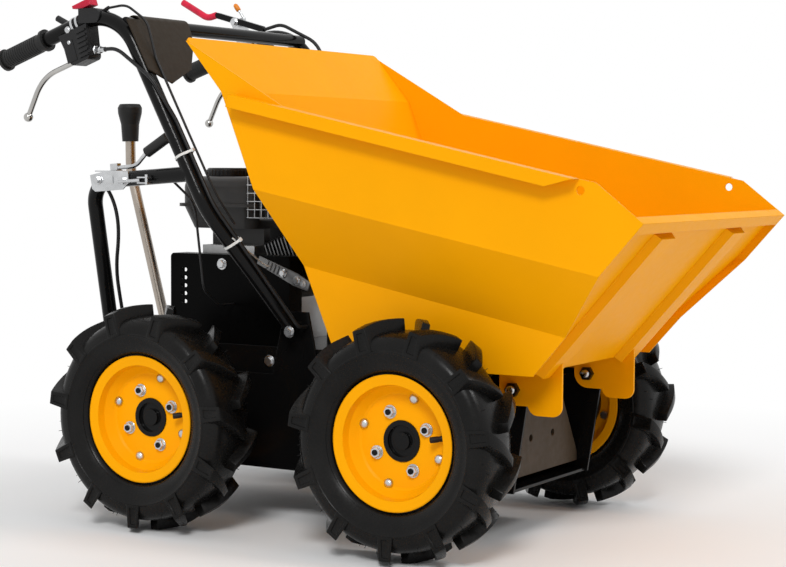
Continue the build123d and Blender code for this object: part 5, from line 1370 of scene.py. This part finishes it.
def camera_matrix(settings):
    """The camera's place and turn, from its azimuth, elevation and roll."""
    azimuth, elevation, roll = settings.azimuth, settings.elevation, settings.roll
    level_reach = math.cos(elevation)
    forward = Vector((
        -math.sin(azimuth) * level_reach, math.cos(azimuth) * level_reach, -math.sin(elevation),
    ))
    level = Vector((math.cos(azimuth), math.sin(azimuth), 0.0))
    up = level.cross(forward)
    right = math.cos(roll) * level + math.sin(roll) * up
    up = math.cos(roll) * up - math.sin(roll) * level
    turn = Matrix((right, up, -forward)).transposed()
    return Matrix.Translation(Vector(settings.camera_place)) @ turn.to_4x4()


class BARROW_OT_stage(Operator):
    """Sets the floor, the light and the camera"""

    bl_idname = "barrow.stage"
    bl_label = "Stage"

    def execute(self, context):
        scene = context.scene
        settings = scene.barrow_stage
        scene.view_settings.view_transform = "Standard"
        floor_mesh = bpy.data.meshes.new("floor")
        bm = bmesh.new()
        bmesh.ops.create_grid(bm, x_segments=1, y_segments=1, size=FLOOR_HALF)
        bm.to_mesh(floor_mesh)
        bm.free()
        floor = bpy.data.objects.new("floor", floor_mesh)
        scene.collection.objects.link(floor)
        floor_mesh.materials.append(floor_finish())
        scene.world = studio_world(settings.sky)
        for name, strength, aim in (("key", settings.key, KEY_LAMP), ("rim", settings.rim, RIM_LAMP)):
            lamp = bpy.data.lights.new(name, "SUN")
            lamp.energy = strength
            lamp.angle = math.radians(aim["angle"])
            light = bpy.data.objects.new(name, lamp)
            light.rotation_mode = "QUATERNION"
            light.rotation_quaternion = Vector(aim["way"]).to_track_quat("-Z", "Y")
            scene.collection.objects.link(light)
        lens = bpy.data.cameras.new("camera")
        lens.lens = settings.lens
        lens.sensor_width = 36.0
        lens.sensor_fit = "HORIZONTAL"
        lens.clip_end = 200.0
        camera = bpy.data.objects.new("camera", lens)
        camera.matrix_world = camera_matrix(settings)
        scene.collection.objects.link(camera)
        scene.camera = camera
        return {"FINISHED"}


class BARROW_PT_panel(Panel):
    """Lists the barrow's operators"""

    bl_label = "Motor Barrow"
    bl_space_type = "VIEW_3D"
    bl_region_type = "UI"
    bl_category = "Barrow"

    def draw(self, context):
        for operator in OPERATORS:
            self.layout.operator(operator.bl_idname)
        for group, kind in GROUPS:
            for name in kind.__annotations__:
                self.layout.prop(getattr(context.scene, group), name)


OPERATORS = [
    BARROW_OT_finishes,
    BARROW_OT_tyres,
    BARROW_OT_wheel_fasteners,
    BARROW_OT_sheet_edges,
    BARROW_OT_hinge_bolts,
    BARROW_OT_bin_welds,
    BARROW_OT_chassis_bolts,
    BARROW_OT_lever_fittings,
    BARROW_OT_drive_fittings,
    BARROW_OT_release_linkage,
    BARROW_OT_cable_ties,
    BARROW_OT_engine_fittings,
    BARROW_OT_grip_rings,
    BARROW_OT_stage,
]
GROUPS = [
    # name on the scene, group
    ("barrow_colours", BarrowColours),
    ("barrow_tread", BarrowTread),
    ("barrow_fittings", BarrowFittings),
    ("barrow_stage", BarrowStage),
]


def register():
    """Adds the barrow's classes and settings."""
    for name, group in GROUPS:
        bpy.utils.register_class(group)
        setattr(bpy.types.Scene, name, PointerProperty(type=group))
    for operator in OPERATORS:
        bpy.utils.register_class(operator)
    bpy.utils.register_class(BARROW_PT_panel)


def unregister():
    """Takes the barrow's classes and settings away again."""
    bpy.utils.unregister_class(BARROW_PT_panel)
    for operator in reversed(OPERATORS):
        bpy.utils.unregister_class(operator)
    for name, group in reversed(GROUPS):
        delattr(bpy.types.Scene, name)
        bpy.utils.unregister_class(group)


def main():
    """Dresses the frame."""
    register()
    for operator in OPERATORS:
        family, name = operator.bl_idname.split(".")
        getattr(getattr(bpy.ops, family), name)()


if __name__ == "__main__":
    main()
